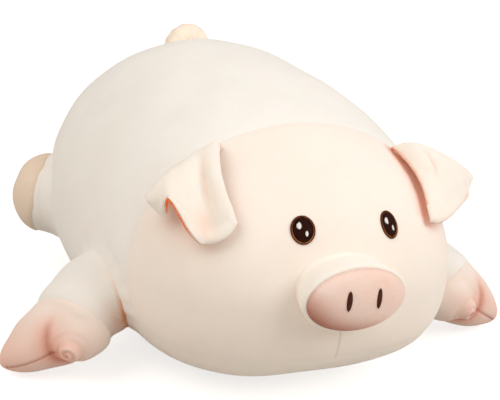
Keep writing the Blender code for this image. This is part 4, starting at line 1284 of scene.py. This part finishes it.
def ear_sheet(side, shape, creases):
    """The middle surface of a flap with its creases, and how far each point is from its edge."""
    u, v = close_at_the_ends(ear_columns), close_at_the_ends(ear_rows)
    even = np.linspace(0, 1, ear_set_points)
    sheet = curve_through(ear_surface(side, shape, even, even), v)
    sheet = curve_through(sheet.transpose(1, 0, 2), u).transpose(1, 0, 2)
    bag_way = nearest_on_the_bag(sheet.reshape(-1, 3).mean(axis=0)[None])[1][0]
    normals = outwards(grid_normals(sheet, closed=False), bag_way)
    for start, end, depth, width in creases:
        start, end = (sheet[np.argmin(abs(v - p[1])), np.argmin(abs(u - p[0]))] for p in (start, end))
        run = end - start
        share = np.clip(((sheet - start) @ run) / (run @ run), 0, 1)
        away = np.linalg.norm(sheet - start - share[..., None] * run, axis=-1)
        sheet = sheet - normals * (depth / 1000 * bell(away, width / 1000))[..., None]
    border = np.concatenate((sheet[:, 0], sheet[-1], sheet[:, -1]))
    edge = np.array([np.linalg.norm(border - p, axis=1).min() for p in sheet.reshape(-1, 3)])
    return (sheet, outwards(grid_normals(sheet, closed=False), normals),
            edge.reshape(sheet.shape[:2]), u, v)


def off_the_bag(points, clearance):
    """Pushes points that would touch the head out to a clearance."""
    moved = points.copy()
    for i, p in enumerate(points):
        away, _, outward = over_bag(p)
        if away < clearance[i]:
            moved[i] = p + outward * (clearance[i] - away)
    return moved


ear_gap_lines = []
for side_name, side, shape, creases in (("right", -1, right_ear, right_ear_creases),
                                        ("left", 1, left_ear, left_ear_creases)):
    sheet, normals, edge, u, v = ear_sheet(side, shape, creases)
    across_share, down_share = np.meshgrid(u, v)
    puff = ear_half_thickness * np.sqrt(1 - (1 - np.clip(edge / ear_edge_reach, 0, 1)) ** 2)
    if side < 0:
        puff = puff * (1 - 0.5 * ramp(across_share, 0.82, 0.94))
    puff = puff * (1 + 0.10 * np.sin(9 * across_share + 5 * down_share) * np.sin(14 * down_share))
    clear = np.where(down_share < 0.04, 0.0002, ear_clearance).ravel()
    high, low = on_side(ear_root_high, side), on_side(ear_root_low, side)
    from_root = np.cross(sheet.reshape(-1, 3) - high, (low - high) / np.linalg.norm(low - high))
    press_room = np.linalg.norm(from_root, axis=1) * math.sin(math.radians(ear_press_degrees))
    middle = off_the_bag(sheet.reshape(-1, 3), clear + puff.ravel() + press_room)
    normals, puff = normals.reshape(-1, 3), puff.reshape(-1, 1)
    seat = np.minimum(puff * lining_seat_share, lining_seat)
    faces = grid_faces(ear_rows, ear_columns, closed=False)
    for layer_name, way, material in (("outer", 1, ear_velour), ("lining", -1, lining_velour)):
        skin, inside = middle + way * normals * puff, middle + way * normals * seat
        points = np.concatenate((skin, inside))
        top = facing(faces, skin, way * normals)
        both = np.concatenate((top, top[:, ::-1] + len(skin)))
        if layer_name == "outer":
            # Painted shade: darker, warmer cloth in the creases and down the left ear's inner edge
            # beside the gap, and pinker cloth along the right ear's crease; pinker too near the right
            # ear's tongue and at the left ear's tip and hem
            if side < 0:
                pink = 0.55 * bell(across_share - 0.38, 0.12) * bell(down_share - 0.80, 0.16)
                fold = 0.08 * bell(across_share - 0.25, 0.05) * bell(down_share - 0.50, 0.15)
                pink += 0.30 * bell(across_share - 0.22, 0.06) * bell(down_share - 0.35, 0.20)
            else:
                pink = 0.60 * bell(across_share - 0.90, 0.16) * bell(down_share - 0.93, 0.12)
                pink += 0.25 * bell(down_share - 1.0, 0.05)
                fold = 0.20 * bell(across_share - 0.20, 0.03) * bell(down_share - 0.34, 0.12)
                fold += 0.60 * bell(across_share, 0.012) * (down_share < 0.8)
            amounts = {"blush": pink, "tuck": fold}
        else:
            # Painted shade and glow: the lining is painted orange and darker where it lies close over
            # the head, and all through the right ear's cup
            height = np.linalg.norm(skin - nearest_on_the_bag(skin)[0], axis=1)
            height = height.reshape(down_share.shape)
            seen_under = np.maximum(ramp(down_share, 0.15, 0.35), ramp(across_share, 0.2, 0.1))
            shown = ramp(across_share, 0.40, 0.50) if side < 0 else 1.0
            cup = seen_under * ramp(across_share, 0.50, 0.58) if side < 0 else 0.0
            amounts = {"blush": 0.3 + 0 * height,
                       "tuck": np.maximum(bell(height, 0.016) * seen_under * shown, cup)}
        bm = bmesh.new()
        layers = {name: bm.verts.layers.float.new(name) for name in amounts}
        made = add_faces(bm, points, both)
        for name, amount in amounts.items():
            for vert, value in zip(made, np.tile(np.clip(amount, 0, 1).ravel(), 2).tolist()):
                vert[layers[name]] = value
        join_points(bm)
        ear = piece_from("ear_%s_%s_cloth" % (layer_name, side_name), bm, material)
        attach(ear, "ear_%s" % side_name)
        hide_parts("ear_%s_%s" % (side_name, layer_name))
    grid = middle.reshape(ear_rows, ear_columns, 3)
    if side < 0:
        ear_gap_lines.append((grid[-1, u > 0.80], 0.0028))
        ear_gap_lines.append((grid[-1, (u > 0.12) & (u < 0.24)], 0.0012))
    else:
        ear_gap_lines.append((grid[:, 0][(v > 0.03) & (v < 0.86)], 0.0034))

# Painted shade and glow: the face's cloth is painted warm orange, and glows, where an ear lies close
# over it.
face_points = points_of(face_cloth.data)
glow = np.zeros(len(face_points))
for line, width in ear_gap_lines:
    near = np.array([np.linalg.norm(np.asarray(line) - p, axis=1).min() if p[2] > 0.10 else 1.0
                     for p in face_points])
    glow = np.maximum(glow, 0.75 * bell(near, width * 2))
paint(face_cloth, "tuck", glow)


# Tail: a sewn and stuffed curl of peach velour, caught by both ends in the crown of the rump.
# It is bent tighter than its cloth likes, so it creases across on the inside.

tail_middle, tail_loop_radius, tail_sink = (0.007, 0.4065 * bag_length), 0.0168, 0.0058
tail_root_radius, tail_tip_radius = 0.0125, 0.0105
tail_angles, tail_columns, tail_rows = (192, 8), 48, 90
tail_folds, tail_fold_depth, tail_crumple = 7, 0.0011, 0.0006

# Peach velour of the tail: the warmest of the pale cloths. Its browner painted shade colour is not
# painted onto the tail.
peach_velour = velour("peach_knitted_velour", "FFF1DF", "FCE6D0", "D98A6A", "F7C9A8")

tail_seat, _ = onto_bag((tail_middle[0], tail_middle[1] + bag_middle_y, 0.4), (0, 0, -1))
tail_centre = tail_seat - (0, 0, tail_sink)
grid = []
for t in np.linspace(0, 1, tail_rows):
    angle = math.radians(tail_angles[0] + (tail_angles[1] - tail_angles[0]) * t)
    outward = np.array((math.cos(angle), 0.10 * math.sin(2 * angle), math.sin(angle)))
    lean = np.array((0.0, 0.35, 0.0)) * math.sin(math.pi * t) * tail_loop_radius
    girth = tail_root_radius + (tail_tip_radius - tail_root_radius) * t
    girth *= float(swell(t, 0.5, 4.0, 4.0))
    ring = []
    for turn in even_turns(tail_columns):
        inside = 0.5 - 0.5 * math.cos(turn)
        wander = 0.06 * math.sin(2 * turn)
        fold = (0.5 + 0.5 * math.cos(2 * math.pi * (tail_folds * t + wander))) ** 2
        crumple = 0.5 * math.sin(5 * turn + 31 * t) * math.sin(23 * t + 2 * turn)
        r = girth - tail_fold_depth * (0.35 + inside) * fold + tail_crumple * crumple
        ring.append(tail_centre + lean + outward * (tail_loop_radius + r * math.cos(turn))
                    + np.array((0, r * 1.05 * math.sin(turn), 0)))
    grid.append(ring)
grid = np.array(grid)
tail = ringed_piece("tail_cloth", grid, grid - grid.mean(axis=1, keepdims=True), peach_velour)
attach(tail, "tail")
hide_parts("tail")
